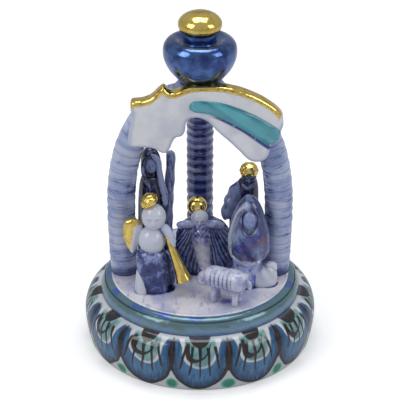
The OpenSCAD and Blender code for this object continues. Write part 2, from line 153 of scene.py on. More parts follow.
class Paint:
    """The nodes of one material. Numbers or tones go into each step, and a tone comes out."""

    def __init__(self, name, roughness=0.09, coat=0.5):
        self.material = bpy.data.materials.new(name)
        self.material.use_nodes = True
        self.tree = self.material.node_tree
        self.shader = self.tree.nodes["Principled BSDF"]
        self.set("Roughness", roughness)
        self.set("Coat Weight", coat)
        self.set("Coat Roughness", 0.03)
        self.set("IOR", 1.52)

    def feed(self, inlet, value):
        """Runs a tone into a node's socket, or sets a number or a swatch's colour there."""
        if isinstance(value, Tone):
            self.tree.links.new(value.socket, inlet)
        else:
            inlet.default_value = swatch(value) if isinstance(value, str) else value

    def set(self, socket, value):
        self.feed(self.shader.inputs[socket], value)

    def placed(self, kind, values, **settings):
        """A node set in place with its values, and its outputs."""
        made = self.tree.nodes.new(kind)
        for key, value in settings.items():
            setattr(made, key, value)
        for slot, value in values.items():
            self.feed(made.inputs[slot], value)
        return made.outputs

    def node(self, kind, output, values, **settings):
        return Tone(self, self.placed(kind, values, **settings)[output])

    def math(self, operation, *values):
        return self.node("ShaderNodeMath", 0, dict(enumerate(values)), operation=operation)

    def oval(self, x, y, wide, high):
        """Grows from 0 in the middle to 1 on an oval's edge."""
        return self.math("SQRT", (x / wide) ** 2.0 + (y / high) ** 2.0)

    def below(self, value, limit, soft):
        """1 where the value is under the limit, 0 above it, with a soft brush edge."""
        return 1.0 - self.node("ShaderNodeMapRange", "Result",
                               {"Value": value - limit, "From Min": -soft, "From Max": soft},
                               interpolation_type="SMOOTHSTEP")

    def above(self, value, limit, soft):
        return 1.0 - self.below(value, limit, soft)

    def both(self, *masks):
        result = masks[0]
        for mask in masks[1:]:
            result = result * mask
        return result

    def over(self, under, colour, mask):
        """A colour laid over another where the mask is 1."""
        return self.node("ShaderNodeMix", 2, {0: mask, 6: under, 7: colour}, data_type="RGBA")

    def mixed(self, recipe, values):
        """A recipe placed in this paint with its own values, and the tones it gives by name."""
        outputs = self.placed("ShaderNodeGroup", values, node_tree=recipe.tree)
        return {socket.name: Tone(self, socket) for socket in outputs}

    def clouded(self, where, size, pale, deep, low, high):
        """One glaze drifting between two tones, where a cloud of that size goes from low to high."""
        return self.mixed(clouded_tone, {"Point": where, "Size": size, "Pale": pale, "Deep": deep,
                                         "From": low, "To": high})["Color"]

    def place(self):
        """The point on the piece, as a vector in mm."""
        here = self.node("ShaderNodeTexCoord", "Object", {})
        return self.node("ShaderNodeVectorMath", "Vector", {0: here, "Scale": 1 / MM}, operation="SCALE")

    def parts(self, vector):
        """The x, y and z of a vector."""
        return [Tone(self, socket) for socket in self.placed("ShaderNodeSeparateXYZ", {0: vector})]

    def stored(self, name, kind="Fac"):
        """A value kept on the mesh."""
        return self.node("ShaderNodeAttribute", kind, {}, attribute_name=name)

    def vector(self, x, y, z):
        return self.node("ShaderNodeCombineXYZ", 0, {0: x, 1: y, 2: z})

    def noise(self, where, scale, detail=2.0, roughness=0.5):
        return self.node("ShaderNodeTexNoise", "Fac", {
            "Vector": where, "Scale": scale, "Detail": detail, "Roughness": roughness})

    def spread(self, value, low, high):
        """The value stretched so that low becomes 0 and high 1."""
        return self.node("ShaderNodeMapRange", "Result", {
            "Value": value, "From Min": low, "From Max": high}, interpolation_type="SMOOTHSTEP")

    def ripple(self, where, size, depth, marks=0.0):
        """Relief of the surface, depth in mm: slow swells, and any marks of the tool."""
        height = self.mixed(glaze_swell, {"Point": where, "Size": size, "Marks": marks})["Height"]
        self.set("Normal", self.node("ShaderNodeBump", 0,
                                     {"Height": height, "Distance": depth * MM, "Strength": 1.0}))


class Recipe(Paint):
    """A mixture kept ready for more than one paint: named things go in, named things come out."""

    def __init__(self, name, takes, gives):
        self.tree = bpy.data.node_groups.new(name, "ShaderNodeTree")
        for way, sockets in (("INPUT", takes), ("OUTPUT", gives)):
            for socket, kind in sockets:
                self.tree.interface.new_socket(socket, in_out=way, socket_type="NodeSocket" + kind)
        taken = self.tree.nodes.new("NodeGroupInput").outputs
        self.taken = {socket.name: Tone(self, socket) for socket in taken if socket.name}
        self.given = self.tree.nodes.new("NodeGroupOutput").inputs

    def give(self, socket, value):
        self.feed(self.given[socket], value)


def clouded_tone_recipe():
    """Two tones of one glaze that drift into each other."""
    mix = Recipe("Clouded tone", [("Point", "Vector"), ("Size", "Float"), ("Pale", "Color"),
                                  ("Deep", "Color"), ("From", "Float"), ("To", "Float")],
                 [("Color", "Color")])
    cloud = mix.noise(mix.taken["Point"], mix.taken["Size"], 3.0)
    share = mix.spread(cloud, mix.taken["From"], mix.taken["To"])
    mix.give("Color", mix.over(mix.taken["Pale"], mix.taken["Deep"], share))
    return mix


def glaze_swell_recipe():
    """The slow swells of poured glaze, with marks laid on them."""
    mix = Recipe("Glaze swell", [("Point", "Vector"), ("Size", "Float"), ("Marks", "Float")],
                 [("Height", "Float")])
    mix.give("Height", mix.noise(mix.taken["Point"], mix.taken["Size"], 2.0) + mix.taken["Marks"])
    return mix


clouded_tone = clouded_tone_recipe()
glaze_swell = glaze_swell_recipe()


def finish_piece(piece, node, slot, *paints):
    """Sets a finished piece on the bell: the node it stands for, and its finish."""
    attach(piece, "bell")
    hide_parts(node)
    piece.data.materials.clear()
    for paint in paints:
        piece.data.materials.append(paint.material)


def scallop_paint():
    paint = Paint("scallop_paint", roughness=0.1, coat=0.05)
    where = paint.place()
    x, y, z = paint.parts(where)
    pitch = 2 * pi * BELL_R / SCALLOPS

    # Round the skirt and up its outside, in mm, with the wander of a hand
    wander = (paint.noise(where, 0.11, 1.0) - 0.5) * 2.6
    rock = (paint.noise(where, 0.14, 1.0) - 0.5) * 1.6
    turn = paint.math("ARCTAN2", x, y * -1.0) * (SCALLOPS / (2 * pi))
    which = paint.math("ROUND", turn)
    across = (turn - which) * pitch + wander
    radius = paint.math("SQRT", x * x + y * y)
    over_belly = paint.math("ARCTAN2", (z - BELLY_H) * (1 / (SHOULDER_H - BELLY_H)),
                            (radius - SHOULDER_R) * (1 / (BELL_R - SHOULDER_R)))
    rise = paint.math("MINIMUM", z, BELLY_H) + paint.math("MAXIMUM", over_belly, 0.0) * 6.35 + rock
    chance = paint.node("ShaderNodeTexWhiteNoise", "Value", {"W": which}, noise_dimensions="1D")
    far = abs(across)

    # White ground, with a breath of blue low down
    colour = paint.clouded(where, 0.09, "#C4C7CC", "#A7B2BE", 0.45, 0.75)

    # A leaf between two scallops, just above the foot
    leaf = paint.oval(far - pitch / 2, rise - 2.5, 2.3, 2.2)
    leaf_tone = paint.over("#6CB8A2", "#2C7F6A", paint.spread(leaf, 1.0, 0.45))
    colour = paint.over(colour, leaf_tone, paint.below(leaf, 0.9, 0.2))

    # Blue feather: an oval below, straight arms above, hollow in the middle
    outer = paint.oval(across, paint.math("MINIMUM", rise - 11.0, 0.0), 8.6, 10.0)
    high = paint.math("MAXIMUM", rise - 14.4, 0.0)
    inner = paint.oval(across, paint.math("MINIMUM", rise - 14.4, 0.0), 5.7 + high * 0.42, 6.0)
    strokes = paint.noise(paint.vector(across * 1.6, rise * 0.35, which), 0.8, 3.0, 0.6)
    blue = paint.over("#3E6F98", "#1A3F62", paint.spread(outer, 0.55, 0.95))
    blue = paint.over(blue, "#12345A", paint.spread(strokes, 0.5, 0.72) * 0.6)
    blue = paint.over(blue, "#5C8EB4", paint.spread(strokes, 0.5, 0.3) * 0.4)
    feather = paint.both(paint.below(outer, 1.0, 0.02), paint.above(inner, 1.0, 0.035),
                         paint.below(rise, 17.4, 0.7))
    colour = paint.over(colour, blue, feather)

    # Grey-green eye inside
    eye = paint.oval(across, paint.math("MINIMUM", rise - 14.9, 0.0), 4.9, 5.8)
    eye_tone = paint.clouded(where, 0.35, "#7FA3A4", "#4C7A80", 0.35, 0.7)
    colour = paint.over(colour, eye_tone, paint.both(paint.below(eye, 1.0, 0.06),
        paint.below(rise, 17.6, 0.8)))

    # Brown-black brushwork: the U in the eye, the rays, the half disc, the line round each feather
    ink = paint.clouded(where, 0.5, "#0E0C10", "#3A1712", 0.45, 0.7)
    hook = paint.oval(across + 0.3, paint.math("MINIMUM", rise - (15.4 + across * 0.4), 0.0), 3.9, 4.6)
    hook_width = 0.1 + across * -0.018
    hook_stroke = paint.both(paint.below(abs(hook - 0.9), hook_width, 0.03), paint.below(rise, 16.2, 0.5))
    down = (14.6 - rise) * (1 / 8)
    fan = 1.0 + down * 0.42
    spaced = across / (fan * 2.3) - (chance - 0.5) * 0.5
    ray = paint.math("ROUND", spaced)
    off_ray = abs(spaced - ray) * fan * 2.3
    ray_width = paint.math("MAXIMUM", 0.52 - down * 0.3, 0.18)
    ray_end = 5.4 + abs(ray) ** 2.0 * 0.75
    rays = paint.both(paint.below(off_ray, ray_width, 0.1), paint.above(rise, ray_end, 0.35),
                      paint.below(rise, 15.2, 0.4), paint.below(abs(ray), 2.5, 0.1))
    disc = paint.oval(across, rise - 20.4, 3.2 + chance, 5.6)
    half_disc = paint.below(disc, 1.0, 0.05)
    rim = paint.both(paint.above(rise, 19.2, 0.2), paint.below(far, 5.5, 0.8))
    edge = paint.both(paint.below(abs(outer - 1.0), 0.052, 0.014), paint.below(rise, 12.0, 0.8))
    spindle = paint.math("MAXIMUM", paint.math("SINE", (rise - 6.5) * (pi / 12)) * 1.05, 0.0)
    pillar = paint.both(paint.below(abs(far - pitch / 2), spindle, 0.12), paint.above(rise, 7.2, 0.3),
                        paint.below(rise, 18.0, 0.4))
    for mask in (hook_stroke, rays, half_disc, rim, edge, pillar):
        colour = paint.over(colour, ink, mask * 0.96)
    veil = paint.both(half_disc, paint.above(rise, 18.6, 0.8), paint.spread(chance, 0.3, 0.5))
    colour = paint.over(colour, "#6E6880", veil * 0.8)
    paint.set("Base Color", colour)
    paint.ripple(where, 0.12, 0.25, strokes * 0.05)
    return paint


def clear_glaze(name, ground, speck, roughness=0.1):
    """Plain glazed porcelain with the faint unevenness of the pour."""
    paint = Paint(name, roughness=roughness)
    where = paint.place()
    paint.set("Base Color", paint.clouded(where, 0.25, ground, speck, 0.4, 0.75))
    paint.ripple(where, 0.5, 0.08)
    return paint


skirt_outline = (
    [(FOOT_R - 0.5, 0), (FOOT_R - 0.15, 0.12), (FOOT_R, 0.45)]
    + [(FOOT_R + FOOT_STEP * sin(radians(90 * t / 12)), BELLY_H * t / 12) for t in range(1, 12)]
    + arc((SHOULDER_R, BELLY_H), SHOULDER_STEP, SHOULDER_H - BELLY_H, 0, 90, 24)
    + [(SHOULDER_R - WALL, SHOULDER_H)]
    + arc((SHOULDER_R - WALL, BELLY_H), SHOULDER_STEP, SHOULDER_H - BELLY_H - WALL * 0.8, 90, 0, 18)
    + [(FOOT_R - WALL + FOOT_STEP * sin(radians(90 * t / 8)), BELLY_H * t / 8) for t in range(7, 0, -1)]
    + [(FOOT_R - WALL, 0.4), (FOOT_R - WALL + 0.3, 0.1), (FOOT_R - WALL + 0.6, 0), (FOOT_R - 0.5, 0)])
bell_skirt = turned("bell_skirt_glazed", skirt_outline, steps=240)
finish_piece(bell_skirt, "bell_skirt", "painted_skirt", scallop_paint(),
             clear_glaze("inside_glaze", "#D6D8DC", "#C6CAD2"),
             clear_glaze("dry_foot", "#CFCAC0", "#B9B2A6", 0.6))
for face in bell_skirt.data.polygons:
    if face.normal.z < -0.9 and face.center.z < 0.3 * MM:
        face.material_index = 2
    elif face.normal.x * face.center.x + face.normal.y * face.center.y < 0:
        face.material_index = 1


# ---- Lustre ring ----
# The rolled moulding between skirt and deck, part of the same casting. Its glaze carries a metal
# lustre that turns from steel blue to olive, with a few bright blue streaks.

DECK_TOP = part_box("deck")[1][2] / MM
DECK_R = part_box("deck")[1][0] / MM
LEDGE = 2.0


def lustre_paint():
    paint = Paint("ring_lustre", roughness=0.16, coat=0.3)
    where = paint.place()
    x, y, z = paint.parts(where)
    round_it = paint.math("ARCTAN2", x, y * -1.0)
    up = (z - SHOULDER_H) * (1 / (DECK_TOP - SHOULDER_H))
    along = paint.vector(round_it * 4.0, up * 1.3, 0.0)
    cloud = paint.noise(along, 1.1, 4.0, 0.6)
    wave = up + (cloud - 0.5) * 0.55
    colour = paint.over("#4C6E94", "#7090A8", paint.spread(wave, 0.05, 0.3))
    colour = paint.over(colour, "#5F7E86", paint.spread(wave, 0.4, 0.62))
    colour = paint.over(colour, "#6B7A5E", paint.spread(cloud, 0.52, 0.66) * 0.6)
    colour = paint.over(colour, "#5A7C94", paint.spread(wave, 0.75, 0.95) * 0.7)
    # A dark line in the groove of the moulding: painted shade
    scored = paint.below(abs(up - 0.76), 0.03, 0.03)
    colour = paint.over(colour, "#1C3444", scored * 0.7)
    streak = paint.noise(paint.vector(round_it * 6.0, up * 2.0, 3.0), 0.9, 2.0)
    bright = paint.both(paint.spread(streak, 0.54, 0.68), paint.spread(up, 0.78, 0.86))
    colour = paint.over(colour, "#2C56B8", bright * 0.7)
    crack = paint.node("ShaderNodeTexVoronoi", "Distance", {"Vector": along, "Scale": 1.2},
                       feature="DISTANCE_TO_EDGE")
    colour = paint.over(colour, "#20405A", paint.below(crack, 0.006, 0.006) * 0.5)
    paint.set("Base Color", colour)
    paint.set("Metallic", 0.2 + cloud * 0.4)
    paint.ripple(where, 0.22, 0.25)
    return paint


ring_outline = ([(SHOULDER_R - WALL, SHOULDER_H - 0.02), (SHOULDER_R - 0.2, SHOULDER_H - 0.02)]
                + arc((DECK_R + 0.3, SHOULDER_H + 0.1), SHOULDER_R - DECK_R + 0.1, DECK_TOP - SHOULDER_H
                      - 0.3, -4, 50, 14) + arc((DECK_R + 0.3, SHOULDER_H + 0.1), SHOULDER_R - DECK_R - 0.22,
    DECK_TOP - SHOULDER_H - 0.62, 52.5, 54.5, 2)
                + arc((DECK_R + 0.3, SHOULDER_H + 0.1), SHOULDER_R - DECK_R + 0.15, DECK_TOP - SHOULDER_H
                      - 0.25, 57, 90, 12) + [(DECK_R - 0.5, DECK_TOP - 0.3),
    (DECK_R - 0.5, DECK_TOP - WALL), (DECK_R - LEDGE, DECK_TOP - WALL), (DECK_R - LEDGE, SHOULDER_H),
    (SHOULDER_R - WALL, SHOULDER_H - 0.02)])
lustre_ring = turned("lustre_ring_moulding", ring_outline, steps=240)
finish_piece(lustre_ring, "lustre_ring", "lustre_moulding", lustre_paint())


# ---- Deck ----
# The floor that the figures stand on, a disc in the top of the casting. White glaze is brushed
# over with thin cobalt, which has run together at the foot of each figure, darkened there with
# painted shade; a painted shadow lies under the lamb.

def spots_of(*nodes):
    """Where CAD nodes stand on the deck: middle and half widths, in mm."""
    spots = []
    for node in nodes:
        low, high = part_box(node)
        spots.append(((low[0] + high[0]) / 2 / MM, (low[1] + high[1]) / 2 / MM,
                      (high[0] - low[0]) / 2 / MM, (high[1] - low[1]) / 2 / MM))
    return spots


def keep(piece, name, values, kind="FLOAT"):
    """Keeps a value for each vertex on the mesh, for the paint to read."""
    layer = piece.data.attributes.new(name, kind, "POINT")
    flat = np.asarray(values, dtype=np.float32).ravel()
    layer.data.foreach_set("vector" if kind == "FLOAT_VECTOR" else "value", flat)


def vertices(piece):
    """All vertices in mm, one row each."""
    flat = np.empty(len(piece.data.vertices) * 3, dtype=np.float64)
    piece.data.vertices.foreach_get("co", flat)
    return flat.reshape(-1, 3) / MM


def reshape(piece, points):
    """Puts the vertices where the rows say, in mm."""
    piece.data.vertices.foreach_set("co", (np.asarray(points) * MM).ravel())
    piece.data.update()


def deck_paint():
    paint = Paint("deck_wash", roughness=0.1, coat=0.3)
    where = paint.place()
    x, y, z = paint.parts(where)
    pooled_and_shadow = paint.stored("pooled_and_shadow")
    streaky = paint.noise(paint.vector(x * 0.9, y * 0.3, z), 0.55, 4.0, 0.65)
    colour = paint.clouded(where, 0.11, "#DAD8E0", "#B2B6D2", 0.38, 0.62)
    colour = paint.over(colour, "#8E98C4", paint.spread(streaky, 0.52, 0.66) * 0.6)
    # Darker blue round each foot: cobalt run together, with painted shade; under the lamb, painted shadow
    wet = pooled_and_shadow + (streaky - 0.5) * 0.7
    colour = paint.over(colour, "#7480BC", paint.spread(wet, 0.42, 0.7))
    colour = paint.over(colour, "#161E58", paint.spread(wet, 0.66, 0.95))
    paint.set("Base Color", colour)
    paint.ripple(where, 0.3, 0.35)
    return paint


deck_outline = ([(0, DECK_TOP - WALL), (DECK_R - 0.5, DECK_TOP - WALL), (DECK_R - 0.5, DECK_TOP - 1.2),
                 (DECK_R + 0.25, DECK_TOP - 0.75)]
                + arc((DECK_R - 0.25, DECK_TOP - 0.35), 0.6, 0.45, -30, 120, 8)
                + [(DECK_R * share, DECK_TOP - 0.1 * (1 - share))
                   for share in [0.965 - 0.025 * i for i in range(38)]] + [(0, DECK_TOP - 0.1)])
deck = turned("deck_glazed", deck_outline, steps=180)
feet = spots_of("angel_robe", "angel_foot", "joseph_cloak", "joseph_staff", "manger", "shepherd_robe",
                "mary_robe", "bundle")
feet += [(feet[0][0] + 4.5, feet[0][1], 2.2, 3.0)]
TRUNK_FOOT_OUT, TRUNK_FOOT_HALF = DECK_R - 3.9, 4.2
columns_at = [(x, y, TRUNK_FOOT_HALF, TRUNK_FOOT_HALF)
              for x, y in ((TRUNK_FOOT_OUT, 0), (-TRUNK_FOOT_OUT, 0), (0, TRUNK_FOOT_OUT))]
lamb_x, lamb_y, lamb_wide, lamb_deep = spots_of("lamb_legs")[0]
# For each vertex on top: cobalt run together with painted shade round the feet of figures and trunks, and a
# painted shadow under the lamb
pool_and_shadow_values = []
for point in vertices(deck):
    nearest = min(hypot((point[0] - x) / wide, (point[1] - y) / deep) - 1 for x, y, wide, deep in feet
                  + columns_at)
    lamb_shadow = 0.8 * exp(-hypot((point[0] - lamb_x) / lamb_wide, (point[1] - lamb_y) / lamb_deep) ** 2
                           * 2)
    on_top = point[2] > DECK_TOP - 0.5
    pool_and_shadow_values.append(max(exp(-max(nearest + 0.12, 0) / 0.26), lamb_shadow) if on_top else 0)
keep(deck, "pooled_and_shadow", pool_and_shadow_values)
finish_piece(deck, "deck", "blue_white", deck_paint())


# ---- Palm-trunk columns ----
# Three ringed trunks that lean together into the arch, rolled in clay and scored with a tool, one
# ring every 3 mm. A fine brush has followed the rings, and the back trunk is banded dark.

COLUMN_R = 4.3
RING_PITCH = 3.0
SPRING_H = DECK_TOP + 20.4
ARCH_RISE = 38.8
COLUMN_CIRCLE_R = DECK_R - 3.2
COLUMN_TOE = 0.7
ARCH_POWER = 2.35


def trunk_line():
    """Centreline of a trunk in its own plane, out from the bell's axis and up, every 0.5 mm."""
    rough = [(COLUMN_CIRCLE_R - COLUMN_TOE * (1 - t / 20) ** 2, DECK_TOP + (SPRING_H - DECK_TOP) * t / 20)
             for t in range(20)]
    rough += [(COLUMN_CIRCLE_R * cos(radians(a)) ** (2 / ARCH_POWER), SPRING_H
               + ARCH_RISE * sin(radians(a)) ** (2 / ARCH_POWER)) for a in [0.5 * i for i in range(178)]]
    rough = np.array(rough)
    lengths = np.concatenate([[0], np.cumsum(np.hypot(*np.diff(rough, axis=0).T))])
    even = np.arange(0, lengths[-1], 0.5)
    return np.stack([np.interp(even, lengths, rough[:, 0]), np.interp(even, lengths, rough[:, 1])],
                    axis=1), even


def trunk_paint(name, ground, wash, line, dark_bands):
    paint = Paint(name, roughness=0.1, coat=0.3)
    own = paint.stored("trunk", "Vector")
    outward, sideways, along = paint.parts(own)
    brushed = paint.vector(outward * 0.16, sideways * 0.16, along * 1.35)
    hair = paint.noise(brushed, 1.3, 4.0, 0.65)
    broad = paint.noise(brushed, 0.28, 2.0)
    cloud = paint.noise(own, 0.12, 3.0)
    ring = paint.math("SINE", along * (2 * pi / RING_PITCH))
    groove = paint.below(ring + (hair - 0.5) * 1.6, 0.05 if dark_bands else -0.75, 0.45 if dark_bands
                         else 0.3)
    colour = paint.clouded(own, 0.12, ground, wash, 0.35, 0.65)
    colour = paint.over(colour, line, groove * (0.95 if dark_bands else 0.3))
    colour = paint.over(colour, wash, paint.spread(broad, 0.5, 0.65) * 0.6)
    stroke = paint.both(paint.spread(hair, 0.56, 0.64), paint.spread(cloud, 0.3, 0.55))
    colour = paint.over(colour, line, stroke * 0.8)
    inner = paint.both(paint.below(outward, -2.2, 1.2), paint.spread(hair, 0.44, 0.58),
                       paint.spread(cloud, 0.4, 0.5))
    colour = paint.over(colour, "#1B2564", inner * 0.85)
    # Darker towards the foot on the deck: cobalt run together there, with painted shade
    low = 2.718 ** (paint.math("MAXIMUM", along, 0.0) * -0.4)
    colour = paint.over(colour, "#1A2364", paint.spread(low + hair * 0.5, 0.45, 0.85) * 0.85)
    paint.set("Base Color", colour)
    paint.ripple(own, 0.4, 0.16, hair * 0.3)
    return paint


line_points, line_lengths = trunk_line()
straight = turned("left_column_trunk", [(0, 0)] + [
    (COLUMN_R, s) for s in line_lengths] + [(0, line_lengths[-1])], steps=48)
upright = vertices(straight)
trunk_spot = upright.copy()
wobble = np.array([noise.noise(Vector((p[0] * 0.12, p[1] * 0.12, p[2] * 0.7))) for p in upright])
upright[:, :2] *= (1 + 0.035 * wobble)[:, None]
headings = np.gradient(line_points, axis=0)
headings /= np.hypot(headings[:, 0], headings[:, 1])[:, None]
out_at, up_at = (np.interp(upright[:, 2], line_lengths, line_points[:, i]) for i in (0, 1))
lean_x, lean_z = (np.interp(upright[:, 2], line_lengths, headings[:, i]) for i in (0, 1))
pale_trunk = trunk_paint("trunk_pale", "#B6BFDA", "#8494C2", "#2F4088", False)
dark_trunk = trunk_paint("trunk_banded", "#8A96BE", "#5663A0", "#10164A", True)
for node, turn, paint, ridge in (("left_column", 180, pale_trunk, 0.03),
                                 ("right_column", 0, pale_trunk, 0.03),
                                 ("back_column", 90, dark_trunk, 0.13)):
    column = straight.copy()
    column.data = straight.data.copy()
    column.name = column.data.name = node + "_trunk_glazed"
    bpy.context.scene.collection.objects.link(column)
    c, s = cos(radians(turn)), sin(radians(turn))
    scored = 1 + ridge * (np.sin(2 * pi * upright[:, 2] / RING_PITCH) - 1) / COLUMN_R
    across, deep = upright[:, 0] * scored, upright[:, 1] * scored
    bent = np.stack([out_at + across * lean_z, deep, up_at - across * lean_x], axis=1)
    reshape(column, np.stack([bent[:, 0] * c - bent[:, 1] * s, bent[:, 0] * s + bent[:, 1] * c, bent[:, 2]],
                             axis=1))
    keep(column, "trunk", trunk_spot, "FLOAT_VECTOR")
    finish_piece(column, node, "cobalt" if turn == 90 else "blue_white", paint)
bpy.data.objects.remove(straight)


# ---- Crown ----
# The hub where the three trunks run together, a lump of the same clay smoothed over with slip,
# flat on top for the knob.

CROWN_H = SPRING_H + ARCH_RISE
CROWN_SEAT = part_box("crown")[1][2] / MM


def cobalt_wash_recipe():
    """Cobalt brushed over a ground: a thin wash in clouds, thick where the hollow value is high, that is
    cobalt run into hollows with painted shade, and painted shade at the foot.
    """
    mix = Recipe("Cobalt wash", [("Point", "Vector"), ("Hollow", "Float"), ("Ground", "Color"),
                                 ("Wash", "Color"), ("Cobalt", "Color"), ("Cover", "Float"),
                                 ("Size", "Float")], [("Color", "Color")])
    where, size = mix.taken["Point"], mix.taken["Size"]
    cloud = mix.noise(where, size, 3.0, 0.6)
    fine = mix.noise(where, size * 3.5, 3.0, 0.6)
    level = (cloud - 0.5) * 1.7 + ((fine - 0.5) * 0.6 + mix.taken["Hollow"])
    depth = level + mix.taken["Cover"]
    colour = mix.over(mix.taken["Ground"], mix.taken["Wash"], mix.spread(depth, 0.05, 0.4))
    mix.give("Color", mix.over(colour, mix.taken["Cobalt"], mix.spread(depth, 0.45, 0.8)))
    return mix


cobalt_wash = cobalt_wash_recipe()


def figure_glaze(name, ground, wash, cobalt, cover, size, roughness=0.1):
    """White glaze brushed with cobalt, for a modelled figure."""
    paint = Paint(name, roughness=roughness, coat=0.35)
    where = paint.place()
    # The stored hollow value darkens the cobalt in hollows, as painted shade with the cobalt run together,
    # and at the foot as painted shade, and lightens it on ridges and along painted highlights
    paint.set("Base Color", paint.mixed(cobalt_wash,
                                        {"Point": where, "Hollow": paint.stored("hollow"), "Ground": ground,
                                         "Wash": wash, "Cobalt": cobalt, "Cover": cover,
                                         "Size": size})["Color"])
    paint.ripple(where, 0.6, 0.12)
    return paint


def facings(piece):
    """Which way the surface faces at each vertex, one row each."""
    flat = np.empty(len(piece.data.vertices) * 3)
    piece.data.vertices.foreach_get("normal", flat)
    return flat.reshape(-1, 3)


def keep_hollows(piece, rounds=6):
    """Marks where the glaze is painted darker: hollows of the surface, where cobalt runs together, with
    painted shade, and the foot on the deck as painted shade. Ridges come out lighter.
    """
    points = vertices(piece)
    edges = np.empty(len(piece.data.edges) * 2, dtype=np.int64)
    piece.data.edges.foreach_get("vertices", edges)
    edges = edges.reshape(-1, 2)
    soft = points.copy()
    counts = np.bincount(edges.ravel(), minlength=len(points)).astype(float)[:, None]
    for _ in range(rounds):
        total = np.zeros_like(soft)
        np.add.at(total, edges[:, 0], soft[edges[:, 1]])
        np.add.at(total, edges[:, 1], soft[edges[:, 0]])
        soft = total / counts
    depth = ((soft - points) * facings(piece)).sum(axis=1)
    # Painted shade low on each figure, where it stands on the deck
    foot = np.exp(-np.maximum(points[:, 2] - DECK_TOP, 0) / 1.2)
    keep(piece, "hollow", np.clip(depth * 6, -0.35, 0.7) + 0.5 * foot)


crown = turned("crown_smoothed", [(0, CROWN_H - 4.1)] + arc((0, CROWN_H + 0.4), 8.7, 4.4, -88, 20, 20)
               + [(7.6, CROWN_H + 3.0), (6.7, CROWN_H + 3.9), (6.0, CROWN_SEAT), (0, CROWN_SEAT)], steps=96)
keep_hollows(crown)
finish_piece(crown, "crown", "blue_white",
             figure_glaze("crown_glaze", "#8A96CA", "#4C5AA4", "#1E286A", 0.3, 0.2))


# ---- Knob ----
# The grip: a bun-shaped lump, hollowed a little on top round the neck of the ball. It is coated
# all over in a blue metal lustre that shines like steel.

KNOB_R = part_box("knob")[1][0] / MM
BALL_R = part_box("ball_finial")[1][0] / MM
BALL_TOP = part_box("ball_finial")[1][2] / MM
BALL_HALF_H = (BALL_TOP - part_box("ball_finial")[0][2] / MM) / 2


def curved(points, steps=6):
    """A smooth line through given points, as a brush would draw it."""
    points = [np.array(p, dtype=float) for p in points]
    ends = [2 * points[0] - points[1]] + points + [2 * points[-1] - points[-2]]
    line = []
    for a, b, c, d in zip(ends, ends[1:], ends[2:], ends[3:]):
        for i in range(steps):
            t = i / steps
            line.append(0.5 * (2 * b + (c - a) * t + (2 * a - 5 * b + 4 * c - d) * t ** 2
                               + (3 * b - a - 3 * c + d) * t ** 3))
    return [tuple(p) for p in line] + [tuple(points[-1])]


def knob_paint():
    paint = Paint("knob_lustre", roughness=0.14, coat=0.5)
    where = paint.place()
    z = paint.parts(where)[2]
    mottle = paint.noise(where, 0.3, 4.0, 0.6)
    colour = paint.over("#4E70AE", "#263E78", paint.spread(mottle, 0.35, 0.65))
    # Darker round the foot, where the knob sits on the crown: painted shade
    low = paint.below(z, CROWN_SEAT + 2.4, 1.6)
    colour = paint.over(colour, "#1B2A5C", low * 0.8)
    tarnish = paint.both(paint.spread(paint.noise(where, 0.7, 3.0), 0.5, 0.62), low)
    colour = paint.over(colour, "#6E6A3C", tarnish * 0.5)
    paint.set("Base Color", colour)
    paint.set("Metallic", 0.9)
    paint.set("Roughness", 0.1 + mottle * 0.12)
    paint.ripple(where, 0.16, 0.5, mottle * 0.06)
    return paint


knob_outline = [(0, 0), (5.6, 0)] + curved([(6.1, 0.1), (6.3, 0.9), (7.6, 2.4), (9.3, 4.6),
                                            (KNOB_R * 0.975, 7.4), (KNOB_R, 9.8), (KNOB_R * 0.97, 11.6),
                                            (9.3, 13.0), (7.4, 13.5), (6.0, 13.0), (5.2, 12.5), (4.9, 12.9),
                                            (4.8, 13.6), (4.7, 15.2)], 5) + [(0, 15.2)]
knob = turned("knob_lustred", [(r, CROWN_SEAT + h) for r, h in knob_outline], steps=120)
finish_piece(knob, "knob", "blue_lustre", knob_paint())


# ---- Gilt ball ----
# A flattened ball on the knob's neck, painted with liquid gold and fired again at low heat, so
# it is mirror bright with faint brush marks.

def liquid_gold_recipe():
    """Gold brushed on thin and fired: two tones of it, and how dull it is."""
    mix = Recipe("Liquid gold", [("Point", "Vector"), ("Size", "Float")],
                 [("Color", "Color"), ("Dull", "Float")])
    brush = mix.noise(mix.taken["Point"], mix.taken["Size"], 4.0, 0.6)
    mix.give("Color", mix.over("#F0D67A", "#CEAA4C", mix.spread(brush, 0.4, 0.7)))
    mix.give("Dull", brush)
    return mix


liquid_gold = liquid_gold_recipe()


def gold_paint():
    paint = Paint("liquid_gold", coat=0.0)
    where = paint.place()
    gold_coat = paint.mixed(liquid_gold, {"Point": where, "Size": 0.25})
    paint.set("Base Color", gold_coat["Color"])
    paint.set("Metallic", 1.0)
    paint.set("Roughness", 0.08 + gold_coat["Dull"] * 0.14)
    paint.ripple(where, 0.2, 0.35, gold_coat["Dull"] * 0.08)
    return paint


gold = gold_paint()
ball = turned("ball_gilt", [(BALL_R * cos(radians(a)), BALL_TOP - BALL_HALF_H
                             + BALL_HALF_H * sin(radians(a))) for a in range(-90, 91, 4)], steps=96)
finish_piece(ball, "ball_finial", "gilt", gold)


# ---- Star panel ----
# A flat rolled slab, cut out as a star with a streaming tail and pressed on to the front of the
# arch while it was leather hard. White glaze in front, its whole upper edge gilt.

BOW_R = 190.0
PANEL_THICK = 4.6
PANEL_ROUNDING = 1.1
PANEL_OUT = 6.5
